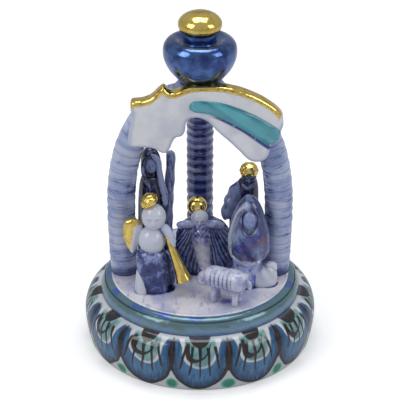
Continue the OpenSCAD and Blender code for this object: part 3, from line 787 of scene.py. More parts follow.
# Outline from the left ray over the top and back below, heights from the crown's middle
PANEL_TOP = [(-20.2, 0.2), (-19.6, 0.9), (-17, 1.3), (-14.4, 2.3), (-12.3, 4.4), (-10.7, 5.8), (-9.9, 5.3),
             (-8.9, 4.1), (-7.6, 4.0), (-6, 4.6), (-3, 5.7), (0, 6.1), (5.7, 6.0), (11.5, 4.8), (17.3, 2.1),
             (21.6, -0.9), (23.9, -3.4), (24.4, -5.2)]
PANEL_LOW = [(24.4, -6.8), (23.7, -8.8), (21.8, -11.6), (20.8, -13.6), (20.3, -16.0), (19.0, -17.9),
             (16.6, -18.4), (14.2, -17.5), (11.4, -14.5), (8.5, -11.5), (5.8, -8.9), (4.0, -7.0),
             (2.7, -5.4), (0.8, -4.3), (-1.4, -3.9), (-3.2, -4.4), (-4.1, -5.8), (-4.3, -8.0), (-5.3, -9.6),
             (-7.0, -10.1), (-8.0, -11.6), (-8.8, -13.8), (-10.0, -15.2), (-11.6, -15.0), (-13.6, -13.9),
             (-17.0, -13.6), (-20.0, -13.7), (-21.2, -12.6), (-20.9, -9.6), (-20.2, -6.2), (-19.9, -3.2),
             (-20.4, -1)]
# Centre line of the raised tail and how wide it is there
TAIL = [(-3.1, -0.3, 1.65), (-1, 0.0, 1.8), (2, -0.2, 2.0), (5.5, -1.0, 2.25), (9.5, -2.7, 2.55),
        (14, -5.1, 2.85), (18.2, -8, 3.05), (21, -10.2, 3.1), (22.4, -11.5, 2.9)]


def along_line(points, xs, zs):
    """Distance of each (x, z) from a line of points, and how far along it that is."""
    best = np.full(len(xs), 1e9)
    where = np.zeros(len(xs))
    travelled = 0.0
    for (ax, az), (bx, bz) in zip(points, points[1:]):
        length = hypot(bx - ax, bz - az)
        t = np.clip(((xs - ax) * (bx - ax) + (zs - az) * (bz - az)) / length ** 2, 0, 1)
        away = np.hypot(xs - ax - t * (bx - ax), zs - az - t * (bz - az))
        closer = away < best
        where[closer] = (travelled + t * length)[closer]
        best[closer] = away[closer]
        travelled += length
    return best, where


def smoothed(piece, voxel, rounds=4):
    """Remeshes a piece into even small faces and smooths it, as wet slip does."""
    put_down()
    piece.select_set(True)
    bpy.context.view_layer.objects.active = piece
    remesh = piece.modifiers.new("clay", "REMESH")
    remesh.mode = "VOXEL"
    remesh.voxel_size = voxel * MM
    bpy.ops.object.modifier_apply(modifier=remesh.name)
    soften = piece.modifiers.new("slip", "SMOOTH")
    soften.factor = 0.5
    soften.iterations = rounds
    bpy.ops.object.modifier_apply(modifier=soften.name)
    bpy.ops.object.shade_smooth()


def panel_bow(x):
    """How far the slab's face lies back from its middle, as it follows the arch round."""
    return BOW_R - np.sqrt(BOW_R ** 2 - x ** 2)


def panel_paint():
    paint = Paint("panel_glaze", roughness=0.13, coat=0.3)
    where = paint.place()
    x, _, z = paint.parts(where)
    colour = paint.clouded(where, 0.13, "#DFE1E6", "#CACEDA", 0.4, 0.7)
    shade = paint.spread(paint.stored("under_edge"), 1.6, 0.2)
    colour = paint.over(colour, "#8E9AC6", shade * 0.55)
    brush = paint.noise(where, 0.8, 3.0)
    blue_line = paint.both(paint.below(paint.stored("tail_line"), 0.6, 0.3),
                           paint.spread(paint.stored("tail_run"), 5.0, 9.0),
                           paint.spread(brush, 0.2, 0.4))
    colour = paint.over(colour, "#273A86", blue_line)
    gilt = paint.both(paint.below(paint.stored("top_edge") + brush * 0.9, 1.9, 0.1),
                      paint.below(x + brush * 0.8 - z * 0.6, -22.2, 0.3))
    gold_coat = paint.mixed(liquid_gold, {"Point": where, "Size": 0.8})
    paint.set("Base Color", paint.over(colour, gold_coat["Color"], gilt))
    paint.set("Metallic", gilt)
    paint.ripple(where, 0.3, 0.3, gilt * 0.25)
    return paint


def slab(name, outline, thickness, rounding):
    """A cut-out of rolled clay, its edges rounded with a wet finger."""
    put_down()
    bpy.ops.curve.primitive_bezier_circle_add(radius=MM)
    shape = bpy.context.object
    shape.data.dimensions = "2D"
    shape.data.splines.clear()
    spline = shape.data.splines.new("POLY")
    spline.points.add(len(outline) - 1)
    for point, (x, z) in zip(spline.points, outline):
        point.co = (x * MM, z * MM, 0, 1)
    spline.use_cyclic_u = True
    shape.data.fill_mode = "BOTH"
    shape.data.extrude = (thickness / 2 - rounding) * MM
    shape.data.bevel_depth = rounding * MM
    shape.data.bevel_resolution = 3
    shape.data.offset = -rounding * MM
    bpy.ops.object.convert(target="MESH")
    shape.name = shape.data.name = name
    bpy.ops.object.mode_set(mode="EDIT")
    bpy.ops.mesh.select_all(action="SELECT")
    bpy.ops.mesh.remove_doubles(threshold=0.01 * MM)
    bpy.ops.mesh.normals_make_consistent(inside=False)
    bpy.ops.object.mode_set(mode="OBJECT")
    return shape


panel_outline = curved(PANEL_TOP, 3)[:-1] + curved(PANEL_LOW, 3)[:-1]
star_panel = slab("star_panel_slab", panel_outline, PANEL_THICK, PANEL_ROUNDING)
smoothed(star_panel, 0.32, 3)
flat = vertices(star_panel)
depth = flat[:, 2].copy()
surface = np.array([noise.noise(Vector((p[0] * 0.16, p[1] * 0.16, 3.0))) for p in flat])
star = np.exp(-((flat[:, 0] + 13) ** 2 + (flat[:, 1] + 5) ** 2) / 60)
forward = PANEL_OUT + depth + surface * 0.25 + star * 0.5 - panel_bow(flat[:, 0])
reshape(star_panel, np.stack([flat[:, 0], -forward, CROWN_H + flat[:, 1]], axis=1))
face_outwards(star_panel)
points = vertices(star_panel)
top_away, _ = along_line(curved(PANEL_TOP, 3), points[:, 0], points[:, 2] - CROWN_H)
low_away, _ = along_line(curved(PANEL_LOW, 3), points[:, 0], points[:, 2] - CROWN_H)
tail_line = np.array(curved(TAIL, 5))
tail_heading = np.gradient(tail_line[:, :2], axis=0)
tail_heading /= np.hypot(tail_heading[:, 0], tail_heading[:, 1])[:, None]
under_tail = [(x + dz * (w + 0.1), z - dx * (w + 0.1))
              for (x, z, w), (dx, dz) in zip(tail_line, tail_heading)]
tail_away, tail_run = along_line(under_tail, points[:, 0], points[:, 2] - CROWN_H)
for name, values in (("top_edge", top_away), ("under_edge", low_away), ("tail_line", tail_away),
                     ("tail_run", tail_run)):
    keep(star_panel, name, values)
finish_piece(star_panel, "star_panel", "white_glaze", panel_paint())


# ---- Raised tail ----
# A roll of clay flattened on to the slab, broadening as it streams away from the star, under a
# teal glaze that thins to green-white along its crest.

TAIL_BED = 8.75
TAIL_HEIGHT = 1.15


def tail_paint():
    paint = Paint("tail_teal", roughness=0.1, coat=0.3)
    where = paint.place()
    x, y, z = paint.parts(where)
    brushed = paint.noise(paint.vector((x + z) * 0.25, y, z - x * -0.75), 0.6, 4.0)
    colour = paint.over("#4AA0B2", "#2E7387", paint.spread(brushed, 0.4, 0.65))
    crest = paint.spread(paint.stored("crest"), 0.55, 1.0)
    colour = paint.over(colour, "#6DB9C2", crest * 0.45)
    edge = paint.spread(paint.stored("crest"), 0.35, 0.0)
    colour = paint.over(colour, "#23546E", edge * 0.8)
    paint.set("Base Color", colour)
    paint.ripple(where, 0.3, 0.22, brushed)
    return paint


def bent_roll(name, stations, sides=28):
    """A roll of clay drawn along stations of (middle, across, over): the middle of each section
    and the half axes that point to its side and to its top."""
    put_down()
    bpy.ops.mesh.primitive_circle_add(vertices=sides, radius=MM)
    piece = bpy.context.object
    piece.name = piece.data.name = name
    bpy.ops.object.mode_set(mode="EDIT")
    bpy.ops.mesh.select_all(action="SELECT")
    bpy.ops.mesh.edge_face_add()
    for _ in stations[1:]:
        bpy.ops.mesh.extrude_region_move(TRANSFORM_OT_translate={"value": (0, 0, MM)})
    bpy.ops.object.mode_set(mode="OBJECT")
    rest = vertices(piece)
    moved = np.empty_like(rest)
    for i, (middle, across, over) in enumerate(stations):
        ring = np.abs(rest[:, 2] - i) < 0.5
        moved[ring] = (np.array(middle) + rest[ring, :1] * np.array(across)
                       + rest[ring, 1:2] * np.array(over))
    reshape(piece, moved)
    face_outwards(piece)
    bpy.ops.object.shade_smooth()
    return piece


stations = []
for i, ((x, z, wide), (dx, dz)) in enumerate(zip(tail_line, tail_heading)):
    left = min(i, len(tail_line) - 1 - i)
    end = sqrt(min(1, (left + 0.35) / 4))
    height = (TAIL_HEIGHT + 0.1 * sin(i * 0.9)) * end
    y = -(TAIL_BED - float(panel_bow(np.array(x))))
    stations.append(((x, y, CROWN_H + z), (-dz * wide * end, 0, dx * wide * end), (0, -height, 0)))
tail_ridge = bent_roll("tail_ridge_roll", stations)
ridge = vertices(tail_ridge)
keep(tail_ridge, "crest", np.clip((-(ridge[:, 1]) - TAIL_BED + panel_bow(ridge[:, 0])) / TAIL_HEIGHT, 0, 1))
finish_piece(tail_ridge, "tail_ridge", "teal", tail_paint())


# ---- Angel with a trumpet ----
# Thumb-sized lumps of clay luted together: a bell-shaped robe, two white lobes for body and head,
# one wing and a bent arm. Robe and hollows are brushed with cobalt, darkened in the hollows and at
# the foot with painted shade; hair, wing and trumpet are gilt.

ANGEL_AT = (-0.525 * DECK_R, -0.405 * DECK_R)


def standing(at):
    """The point on the deck under a figure."""
    return np.array([at[0], at[1], DECK_TOP])


def egg(at, middle, half, lean=(0, 0, 0)):
    """A rolled lump, from the figure's place on the deck: middle and half sizes in mm, lean in degrees."""
    put_down()
    bpy.ops.mesh.primitive_uv_sphere_add(segments=32, ring_count=20, radius=MM)
    lump = bpy.context.object
    lump.scale = half
    lump.rotation_euler = [radians(a) for a in lean]
    lump.location = ((at[0] + middle[0]) * MM, (at[1] + middle[1]) * MM, (DECK_TOP + middle[2]) * MM)
    bpy.ops.object.transform_apply(location=True, rotation=True, scale=True)
    return lump


def stack(at, levels, steps=4):
    """Clay built up through level ovals of (x, y, height, half width, half depth)."""
    return bent_roll("lump", [
        ((at[0] + x, at[1] + y, DECK_TOP + z), (max(wide, 0.2), 0, 0), (0, max(deep, 0.2), 0))
        for x, y, z, wide, deep in curved(levels, steps)], sides=32)


def limb(at, line, steps=4):
    """A roll of clay along points of (x, y, height, radius), its ends rounded."""
    path = np.array(curved(line, steps))
    spots = path[:, :3] + standing(at)
    ways = np.gradient(spots, axis=0)
    ways /= np.linalg.norm(ways, axis=1)[:, None]
    stations = []
    for i, (spot, way, radius) in enumerate(zip(spots, ways, path[:, 3])):
        side = np.cross((0.05, 1.0, 0.1), way)
        side /= np.linalg.norm(side)
        end = min(i, len(path) - 1 - i)
        thick = radius * sqrt(min(1.0, (end + 0.3) / 2.2))
        stations.append((spot, side * thick, np.cross(way, side) * thick))
    return bent_roll("limb", stations, sides=20)


def pressed(name, lumps, voxel=0.22, rounds=4):
    """Lumps pressed together into one piece and smoothed over with a wet brush."""
    put_down()
    for lump in lumps:
        lump.select_set(True)
    bpy.context.view_layer.objects.active = lumps[0]
    if len(lumps) > 1:
        bpy.ops.object.join()
    piece = bpy.context.object
    piece.name = piece.data.name = name
    smoothed(piece, voxel, rounds)
    return piece


def tooled(piece, at, cut):
    """Works the surface with a modelling tool: the cut says how far each point moves outwards,
    from its place on the figure (x, y and height in rows) and the way it faces."""
    points, normals = vertices(piece), facings(piece)
    reshape(piece, points + normals * cut(points - standing(at), normals)[:, None])


def bump(value, middle, reach):
    return np.exp(-((value - middle) / reach) ** 2)


def calm_face(middle, half, depth=1.0):
    """A plain face in shallow relief, the same for every figure: brow, closed lids, straight nose,
    lips and chin at a doll's even spacing."""
    def cut(at, facing):
        u = (at[:, 0] - middle[0]) / half[0]
        v = (at[:, 2] - middle[2]) / half[1]
        front = np.clip((middle[1] - at[:, 1]) / half[0] * 3 - 0.6, 0, 1)
        side = np.abs(u)
        relief = (
            0.5 * bump(u, 0, 0.13) * bump(v, -0.1, 0.2) + 0.25 * bump(u, 0, 0.16) * bump(v, -0.22, 0.09)
            + 0.2 * bump(side, 0.3, 0.26) * bump(v, 0.27, 0.08)
            - 0.45 * bump(side, 0.34, 0.2) * bump(v, 0.08, 0.13)
            + 0.22 * bump(side, 0.34, 0.12) * bump(v, 0.05, 0.06)
            - 0.12 * bump(side, 0.34, 0.14) * bump(v, -0.01, 0.03)
            + 0.2 * bump(u, 0, 0.22) * (bump(v, -0.42, 0.05) + bump(v, -0.53, 0.05))
            - 0.2 * bump(u, 0, 0.2) * bump(v, -0.475, 0.025)
            + 0.25 * bump(u, 0, 0.2) * bump(v, -0.72, 0.1))
        return relief * front * depth * half[0] / 3.6
    return cut


def figure(node, slot, paint, lumps, voxel=0.22, rounds=4, at=None, cuts=(), highlight_line=(), how="modelled"):
    """One modelled part of a figure, finished and set on the bell. A painted highlight, paler cobalt,
    is laid along a line of (x, y, height, reach) where one is given."""
    piece = pressed(node + "_" + how, lumps, voxel, rounds)
    for cut in cuts:
        tooled(piece, at, cut)
    keep_hollows(piece)
    if highlight_line:
        points = vertices(piece) - standing(at)
        near = np.max([np.exp(-(np.linalg.norm(points - np.array(p[:3]), axis=1) / p[3]) ** 2)
                       for p in curved(highlight_line, 5)], axis=0)
        # Painted highlight: the hollow value drops near the line, so the cobalt paints paler there
        hollow = np.empty(len(points), dtype=np.float32)
        piece.data.attributes["hollow"].data.foreach_get("value", hollow)
        piece.data.attributes["hollow"].data.foreach_set("value", (hollow - 0.6 * near).astype(np.float32))
    finish_piece(piece, node, slot, paint)
    return piece


def hanging_folds(count, depth, top, swirl=0.0, middle=(0, 0)):
    """Folds that fall from a height to the hem, deepest there."""
    def cut(at, facing):
        around = np.arctan2(at[:, 1] - middle[1], at[:, 0] - middle[0])
        falling = np.clip((top - at[:, 2]) / top, 0, 1) ** 0.7
        wave = np.sin(count * around + swirl * at[:, 2] + 1.3 * np.sin(2 * around))
        upright = np.clip(1.2 - np.abs(facing[:, 2]) * 1.3, 0, 1)
        return depth * (wave - 0.3) * falling * upright
    return cut


def wavy_hair(depth, pitch, lean=0.6):
    """Locks drawn with a wire, running round the head."""
    def cut(at, facing):
        return depth * np.sin((at[:, 2] + lean * at[:, 0] + 0.5 * np.sin(at[:, 0] * 1.6)) * 2 * pi / pitch)
    return cut


def wing_paint():
    paint = Paint("wing_half_gilt", roughness=0.12, coat=0.3)
    where = paint.place()
    x, _, z = paint.parts(where)
    edge = paint.noise(where, 0.5, 3.0)
    across = x - (ANGEL_AT[0] - 6.1) + (z - (DECK_TOP + 17.0)) * -0.2
    outer_edge = paint.below(across + edge * 0.5, 0.25, 0.12)
    shoulder = paint.above(z, DECK_TOP + 21.0, 0.15)
    gilt = paint.math("MAXIMUM", outer_edge, shoulder)
    # Bluer in the hollows: thick glaze with painted shade
    white = paint.over("#D2D4E2", "#9CA6CE", paint.spread(edge + paint.stored("hollow"), 0.5, 0.9))
    gold_coat = paint.mixed(liquid_gold, {"Point": where, "Size": 0.5})
    paint.set("Base Color", paint.over(white, gold_coat["Color"], gilt))
    paint.set("Metallic", gilt)
    paint.ripple(where, 0.5, 0.12)
    return paint


white_figures = figure_glaze("white_lobes", "#C5CADB", "#8C98C4", "#34418C", -0.16, 0.22)
robe_cobalt = figure_glaze("robe_mottled", "#8C9ACA", "#2B3976", "#0E143C", 0.45, 0.3)
pale_arm = figure_glaze("arm_wash", "#B9C0DA", "#7280BA", "#2C3A86", 0.15, 0.3)
soft_face = figure_glaze("face_wash", "#8391BE", "#6474AC", "#44538E", 0.05, 0.35)
at = ANGEL_AT
figure("angel_robe", "cobalt", robe_cobalt,
       [stack(at, [(0.3, 0, -0.2, 4.9, 4.2), (0.3, 0, 1.2, 5.0, 4.4), (-0.1, 0, 6, 5.0, 4),
                   (-0.5, 0, 10, 4.9, 3.9), (-0.5, 0, 12.4, 4.3, 3.4), (-0.4, 0.1, 13.6, 3.2, 2.8)]),
        limb(at, [(4.6, 1.2, -0.2, 1.6), (4.9, 1.3, 3, 1.7), (4.8, 1.3, 8, 1.5), (4.0, 1.0, 12.4, 1.1)])],
       at=at, cuts=[hanging_folds(5, 0.3, 13, 0.12)])
figure("angel_foot", "white_glaze", white_figures,
       [stack(at, [(-3.4, -1.6, -0.2, 2.1, 2.9), (-3.5, -1.6, 1.6, 1.9, 2.7), (-3.8, -1.4, 4.4, 1.4, 2.2),
                   (-4.1, -1.0, 7.0, 0.8, 1.4)])], at=at,
       cuts=[hanging_folds(4, 0.15, 9, 0.2, (-3.5, -1.4))])
figure("angel_body", "white_glaze", white_figures, [egg(at, (-0.1, 0.6, 16.4), (4.2, 3.9, 4.6)),
       egg(at, (0.9, -2.2, 17.6), (1.5, 1.2, 1.3))], rounds=12)
figure("angel_head", "white_glaze", white_figures, [egg(at, (0.5, 1, 24), (3.7, 3.5, 4.2))], voxel=0.17,
       at=at, cuts=[calm_face((0.5, 1, 23.8), (3.7, 4.0))])
figure("angel_arm", "blue_white", pale_arm,
       [limb(at, [(2.6, 0.4, 21.8, 1.2), (4.4, -0.5, 20.2, 1.35), (5.5, -1.3, 18, 1.25),
                  (6.0, -1.7, 15.8, 1.0), (5.9, -2.0, 14.9, 0.8)])])
figure("angel_hair", "gilt", gold, [egg(at, (-0.9, 1.2, 29.3), (2.9, 2.8, 2.1), (0, -38, 0))], voxel=0.17,
       at=at, cuts=[wavy_hair(0.09, 1.5, -0.8)], how="gilt")
figure("angel_wing", "gilt", wing_paint(), [stack(at,
    [(-6.1, 1.7, 11.4, 0.5, 0.6), (-6.1, 1.8, 13.3, 1.6, 1.1), (-6.1, 2, 16.3, 2.6, 1.5),
     (-5.9, 2, 19.5, 3.0, 1.6), (-6, 2, 21.8, 2.3, 1.3), (-5.9, 2, 22.9, 0.9, 0.8)])], at=at, rounds=8,
       cuts=[lambda place, facing: 0.06 * np.sin((place[:, 0] * 1.0 - place[:, 2] * 0.16) * 2 * pi / 1.7)
             * np.clip(-facing[:, 1] * 2, 0, 1)], how="half_gilt")
way = np.array([5.0, -1.9, -14.0])
way /= np.linalg.norm(way)
side = np.cross(way, (0, 1, 0))
side /= np.linalg.norm(side)
start = np.array([at[0] + 4.5, at[1] - 1.5, DECK_TOP + 18.8])
bore = [(0, 0.5), (0.15, 0.85), (0.5, 0.9), (0.8, 0.7), (2, 0.85), (5, 1.15), (8, 1.42), (10.5, 1.68),
        (12.6, 1.95), (14.0, 2.2), (14.9, 2.5), (15.1, 2.5), (15.05, 2.3), (14.2, 1.85), (12.6, 1.5),
        (10, 1.0), (9.9, 0.3)]
trumpet = bent_roll("trumpet_gilt", [(start + way * along, side * r, np.cross(way, side) * r)
                                     for along, r in bore], sides=32)
finish_piece(trumpet, "trumpet", "gilt", gold)


# ---- Hooded man with a staff ----
# A tall roll for the cloak with the hood pinched forward, a plain face set in it, a strip for the
# scarf and a thick rod for the staff. All but the face is brushed dark.

JOSEPH_AT = (-0.55 * DECK_R, 0.22 * DECK_R)
cloak_cobalt = figure_glaze("cloak_dark", "#94A1CC", "#161E4C", "#05081E", 0.62, 0.2)
staff_streaks = figure_glaze("staff_streaked", "#8A96C0", "#4B5A9A", "#1C2660", 0.3, 0.28)
at = JOSEPH_AT
figure("joseph_cloak", "cobalt", cloak_cobalt,
       [stack(at, [(0, 0, -0.2, 4.5, 4.1), (0, 0, 8, 4.3, 3.9), (0, 0.1, 20, 4.1, 3.6),
                   (0.2, 0.2, 27, 3.8, 3.4), (0.2, 0.4, 30, 3.0, 2.8)]),
        stack(at, [(0.1, 0.8, 29, 2.8, 2.5), (0, 0.7, 33, 3.1, 2.7), (-0.1, 0.6, 36, 2.9, 2.9),
                   (-0.2, 0.3, 38.3, 1.9, 2.1), (-0.3, 0.1, 39.2, 0.8, 0.9)]),
        limb(at, [(-1.2, -1.8, 37.0, 0.6), (-2.2, -2.0, 35, 0.7), (-2.3, -2.1, 32, 0.7),
                  (-1.5, -2.5, 29.5, 0.7), (-0.2, -3.0, 27, 0.6)]),
        limb(at, [(0.2, -2.4, 38.0, 0.8), (2.2, -2.3, 36, 0.95), (2.6, -2.4, 32.5, 0.95),
                  (3.2, -2.6, 28.5, 1.1), (4.0, -2.4, 25, 1.2), (4.1, -2.3, 21.5, 1.1),
                  (3.2, -2.6, 18.0, 0.9)])], rounds=3, at=at, cuts=[hanging_folds(6, 0.3, 30, 0.05)],
       # Painted highlight down the scarf on the right
       highlight_line=[(0.6, -2.8, 38.4, 1.2), (2.4, -3.2, 35.5, 1.2), (2.9, -3.4, 31, 1.3), (3.6, -3.4, 27, 1.5),
              (4.4, -3.2, 22, 1.2)])
figure("joseph_face", "white_glaze", soft_face, [egg(at, (0.1, -1.5, 34), (2.1, 1.5, 2.7))], voxel=0.15,
       at=at, cuts=[calm_face((0.1, -1.2, 34), (2.1, 2.7), 1.2)])
figure("joseph_staff", "blue_white", staff_streaks,
       [limb(at, [(4.9, 1.4, -0.3, 1.5), (5.0, 1.4, 9, 1.45), (5.2, 1.4, 18, 1.45), (5.7, 1.6, 28, 1.5),
                  (6.0, 1.7, 34, 1.45), (6.0, 1.9, 37.3, 1.25)], 8)], at=at,
       cuts=[lambda place, facing: 0.1 * np.sin(place[:, 2] * 0.9 + 2 * np.sin(place[:, 0] * 2))])


# ---- Manger and child ----
# A heap of clay combed downwards with a fork to look like straw, brushed dark. The swaddled child
# lies against it with arms out, lustre on the chest, and a gilt ball behind the head as a halo.

MANGER_AT = (0.04 * DECK_R, 0.11 * DECK_R)


def combed_straw(place, facing):
    fan = np.arctan2(place[:, 0] + 0.2, 21 - place[:, 2])
    tremble = np.array([noise.noise(Vector((p[0] * 0.35, p[1] * 0.35, p[2] * 0.18))) for p in place])
    upright = np.clip(1.1 - np.abs(facing[:, 2]), 0, 1)
    return (0.11 * np.sin(88 * fan + 3 * tremble) + 0.08 * np.sin(37 * fan - 2 * tremble)
            + 0.25 * tremble) * upright


def swaddling(place, facing):
    band = np.sin((place[:, 2] + 0.7 * np.abs(place[:, 0] + 0.6)) * 2 * pi / 2.4)
    return 0.12 * band * np.clip(-facing[:, 1] * 2, 0, 1)


def swaddled_paint():
    paint = Paint("swaddled_lustre", roughness=0.1, coat=0.7)
    where = paint.place()
    x, _, z = paint.parts(where)
    mottle = paint.noise(where, 0.7, 5.0, 0.7)
    high = paint.spread(z, DECK_TOP + 9.5, DECK_TOP + 12.0)
    # Bluer in the hollows and at the foot: thick glaze with painted shade
    colour = paint.over("#D4D4E0", "#A9AFD2", paint.spread(mottle + paint.stored("hollow"), 0.45, 0.8))
    colour = paint.over(colour, paint.over("#B4B6DC", "#5A60A4", paint.spread(mottle, 0.42, 0.62)), high)
    middle_x, neck = MANGER_AT[0] - 0.8, DECK_TOP + 13.4
    arrow = z - neck - abs(x - middle_x) * 0.9
    stroke = paint.both(paint.below(abs(arrow + mottle * 0.9), 0.3, 0.16), high)
    colour = paint.over(colour, "#272F66", stroke * 0.85)
    paint.set("Base Color", colour)
    paint.set("Metallic", high * 0.35)
    paint.ripple(where, 0.5, 0.2)
    return paint


straw_cobalt = figure_glaze("straw_dark", "#8490B8", "#36447C", "#0F1542", 0.42, 0.3)
at = MANGER_AT
figure("manger", "cobalt", straw_cobalt, [stack(at,
    [(0, 0, -0.2, 8.3, 6.5), (0, 0, 1.5, 8.8, 6.8), (0, 0.3, 6, 8.7, 6.3), (-0.2, 0.9, 11, 8.3, 5.2),
     (-0.3, 1.4, 14.0, 6.8, 3.8), (-0.3, 1.8, 15.8, 3.8, 2.2)])], voxel=0.17, rounds=2, at=at,
       cuts=[combed_straw], how="combed")
figure("child_body", "white_glaze", swaddled_paint(),
       [limb(at, [(-1.0, -0.9, 16.0, 1.7), (-0.95, -1.6, 14.0, 2.7), (-0.7, -3.2, 11.4, 3.1),
                  (-0.4, -4.8, 8.4, 2.5), (0.1, -6.2, 5.4, 2.1), (0.8, -7.2, 2.6, 1.6),
                  (1.1, -7.6, 1.2, 1.1)])], at=at, cuts=[swaddling], how="swaddled")
arm_slate = figure_glaze("arm_slate", "#A4AED2", "#6572A8", "#28346E", 0.3, 0.4)
figure("child_arms", "white_glaze", arm_slate,
       [limb(at, [(-1, -1.2, 15.2, 1.1), (3.2, -1.5, 15.2, 1.35), (5.3, -1.0, 14.5, 1.25),
                  (6.1, -0.7, 14.0, 1.0)]),
        limb(at, [(-1, -1.2, 15.2, 1.1), (-5.0, -1.5, 15.2, 1.35), (-7.2, -1.0, 14.6, 1.25),
                  (-8.0, -0.7, 14.1, 1.0)])])
figure("child_head", "white_glaze", white_figures, [egg(at, (-1.2, -0.8, 17.0), (2.7, 2.6, 2.6))],
       voxel=0.16, at=at, cuts=[calm_face((-1.2, -0.8, 16.6), (2.6, 2.6), 1.1)])
figure("child_halo", "gilt", gold, [egg(at, (-2, 2.6, 19.6), (3.05, 3.0, 3.0)), limb(at, [
    (-2, 2.4, 13.8, 1.1), (-2, 2.5, 16, 1.2), (-2, 2.6, 18, 1.3)])], rounds=6, how="gilt")


# ---- Standing man ----
# A plain roll for the robe with one arm bent in front, a collar, and a ball of gilt hair.

SHEPHERD_AT = (0.51 * DECK_R, 0.31 * DECK_R)
navy = figure_glaze("robe_navy", "#6C78A4", "#1A2252", "#090C2A", 0.62, 0.25)
sleeve = figure_glaze("sleeve_slate", "#6F7CA8", "#37437C", "#0E1340", 0.38, 0.3)
at = SHEPHERD_AT
figure("shepherd_robe", "cobalt", navy, [stack(at,
    [(0, 0.6, -0.2, 5.0, 4.1), (0, 0.6, 6, 4.7, 3.8), (-0.2, 0.6, 18, 4.5, 3.5), (0.1, 0.4, 23.4, 4.1, 3.2),
     (0.8, 0.1, 26.4, 3.1, 2.6), (1.2, -0.2, 28.4, 1.9, 1.9)]),
                                         limb(at,
    [(-1.2, -2.0, 27.2, 0.6), (0.4, -2.9, 25.6, 0.7), (2.2, -2.5, 26.4, 0.6), (3.4, -1.4, 27.2, 0.5)])],
       rounds=3, at=at, cuts=[hanging_folds(6, 0.3, 26, 0.06)])
figure("shepherd_arm", "cobalt", sleeve, [limb(at,
    [(-0.6, 0, 26.0, 1.4), (-2.3, -0.5, 24.2, 2.2), (-3.8, -1.2, 20.6, 2.5), (-5.4, -1.7, 16.6, 2.0),
     (-6.1, -1.8, 14.0, 1.4)])], at=at, cuts=[lambda place,
    facing: 0.18 * np.sin(place[:, 2] * 1.5 + place[:, 0] * 0.8)],
       # Painted highlight along the arm
       highlight_line=[(-2.6, -2.6, 24.0, 1.6), (-3.9, -3.4, 20.6, 1.8), (-5.2, -3.2, 17.2, 1.3)])
figure("shepherd_head", "blue_white", navy, [egg(at, (1.2, -0.5, 28.6), (2.35, 2.35, 2.7))], voxel=0.15,
       at=at, cuts=[calm_face((1.2, -0.5, 28.3), (2.3, 2.8), 0.7)])
figure("shepherd_hair", "gilt", gold, [egg(at, (1.2, 0.0, 30.3), (2.9, 2.8, 2.6))], voxel=0.17,
       at=at, cuts=[wavy_hair(0.09, 1.4, 0.2)], how="gilt")


# ---- Kneeling veiled woman ----
# An egg of clay hollowed under the chin, the veil's hem rolled round the face and down the side,
# on a flared skirt. The veil has a mother-of-pearl lustre over blue.

MARY_AT = (0.545 * DECK_R, -0.265 * DECK_R)


def veil_paint():
    paint = Paint("veil_pearl", roughness=0.12, coat=0.8)
    where = paint.place()
    x, y, z = paint.parts(where)
    drift = paint.noise(where, 0.16, 2.0)
    cells = paint.noise(paint.vector(x + z * 0.35, y, z * 0.55), 0.33, 3.0, 0.6)
    hollow = paint.stored("hollow")
    colour = paint.over("#7486B0", "#26336A", paint.spread(cells, 0.36, 0.56))
    low = paint.below(z, DECK_TOP + 18.5, 3.5)
    for code, scale, start, stop in (("#5E4A88", 0.36, 0.5, 0.6), ("#3E7888", 0.42, 0.54, 0.64),
                                     ("#74503E", 0.5, 0.56, 0.65), ("#2434A4", 0.44, 0.54, 0.63)):
        shifted = paint.vector(x + scale * 190, y, z * 0.6)
        patch = paint.spread(paint.noise(shifted, scale, 2.0), start, stop)
        colour = paint.over(colour, code, paint.both(patch, 0.1 + low) * 0.65)
    rim = paint.stored("hem")
    colour = paint.over(colour, "#B6BFDA", rim * 0.85)
    # Darkest in the hollows: cobalt run together, with painted shade
    colour = paint.over(colour, "#141A48", paint.spread(hollow + drift * 0.3, 0.42, 0.7))
    paint.set("Base Color", colour)
    paint.set("Metallic", low * 0.45)
    paint.set("Roughness", 0.08 + cells * 0.12)
    paint.ripple(where, 0.4, 0.3, cells * 0.5)
    return paint


skirt_wash = figure_glaze("skirt_wash", "#A9B4DC", "#5868B2", "#1A2268", 0.22, 0.25)
at = MARY_AT
figure("mary_robe", "blue_white", skirt_wash,
       [stack(at, [(-1, -0.4, -0.2, 4.7, 4.5), (-1, -0.4, 1.4, 4.8, 4.6), (-0.8, -0.2, 5, 4.0, 3.9),
                   (-0.2, 0, 9, 5, 4.2)])], at=at, cuts=[hanging_folds(7, 0.25, 9, 0.1, (-0.8, -0.2))])
hem_line = [(-1.2, -2.2, 27.4), (-3.6, -2.4, 25.0), (-5.2, -2.6, 20.6), (-6.1, -2.5, 15.5),
            (-5.4, -3.0, 11.0), (-3.0, -3.9, 8.7), (0.4, -4.3, 8.1), (3.4, -3.6, 8.8)]
brow_line = [(-1.4, -3.2, 26.6), (-2.6, -3.9, 24.2), (-2.4, -4.5, 20.9), (-1.0, -5.0, 18.6),
             (0.8, -5.0, 18.6), (2.4, -4.4, 21.0), (2.6, -3.9, 24.2), (1.3, -3.2, 26.6), (0, -2.9, 27.4)]
veil = pressed("mary_veil_pearl", [stack(at,
                                         [(0, 0.2, 7.2, 3.8, 3.1), (0, 0.1, 8.4, 5.4, 4.1),
                                          (0, 0, 12, 6.3, 4.6), (0, 0, 16, 6.4, 4.6),
                                          (-0.2, 0, 20, 5.7, 4.4), (-0.2, 0.2, 24, 4.5, 4),
                                          (-0.1, 0.5, 27, 3.1, 3.1), (0, 0.8, 29, 1.3, 1.5)]),
                                   limb(at, [(*p, 0.55) for p in hem_line]),
                                   limb(at, [(*p, 0.42) for p in brow_line])], 0.19, 7)
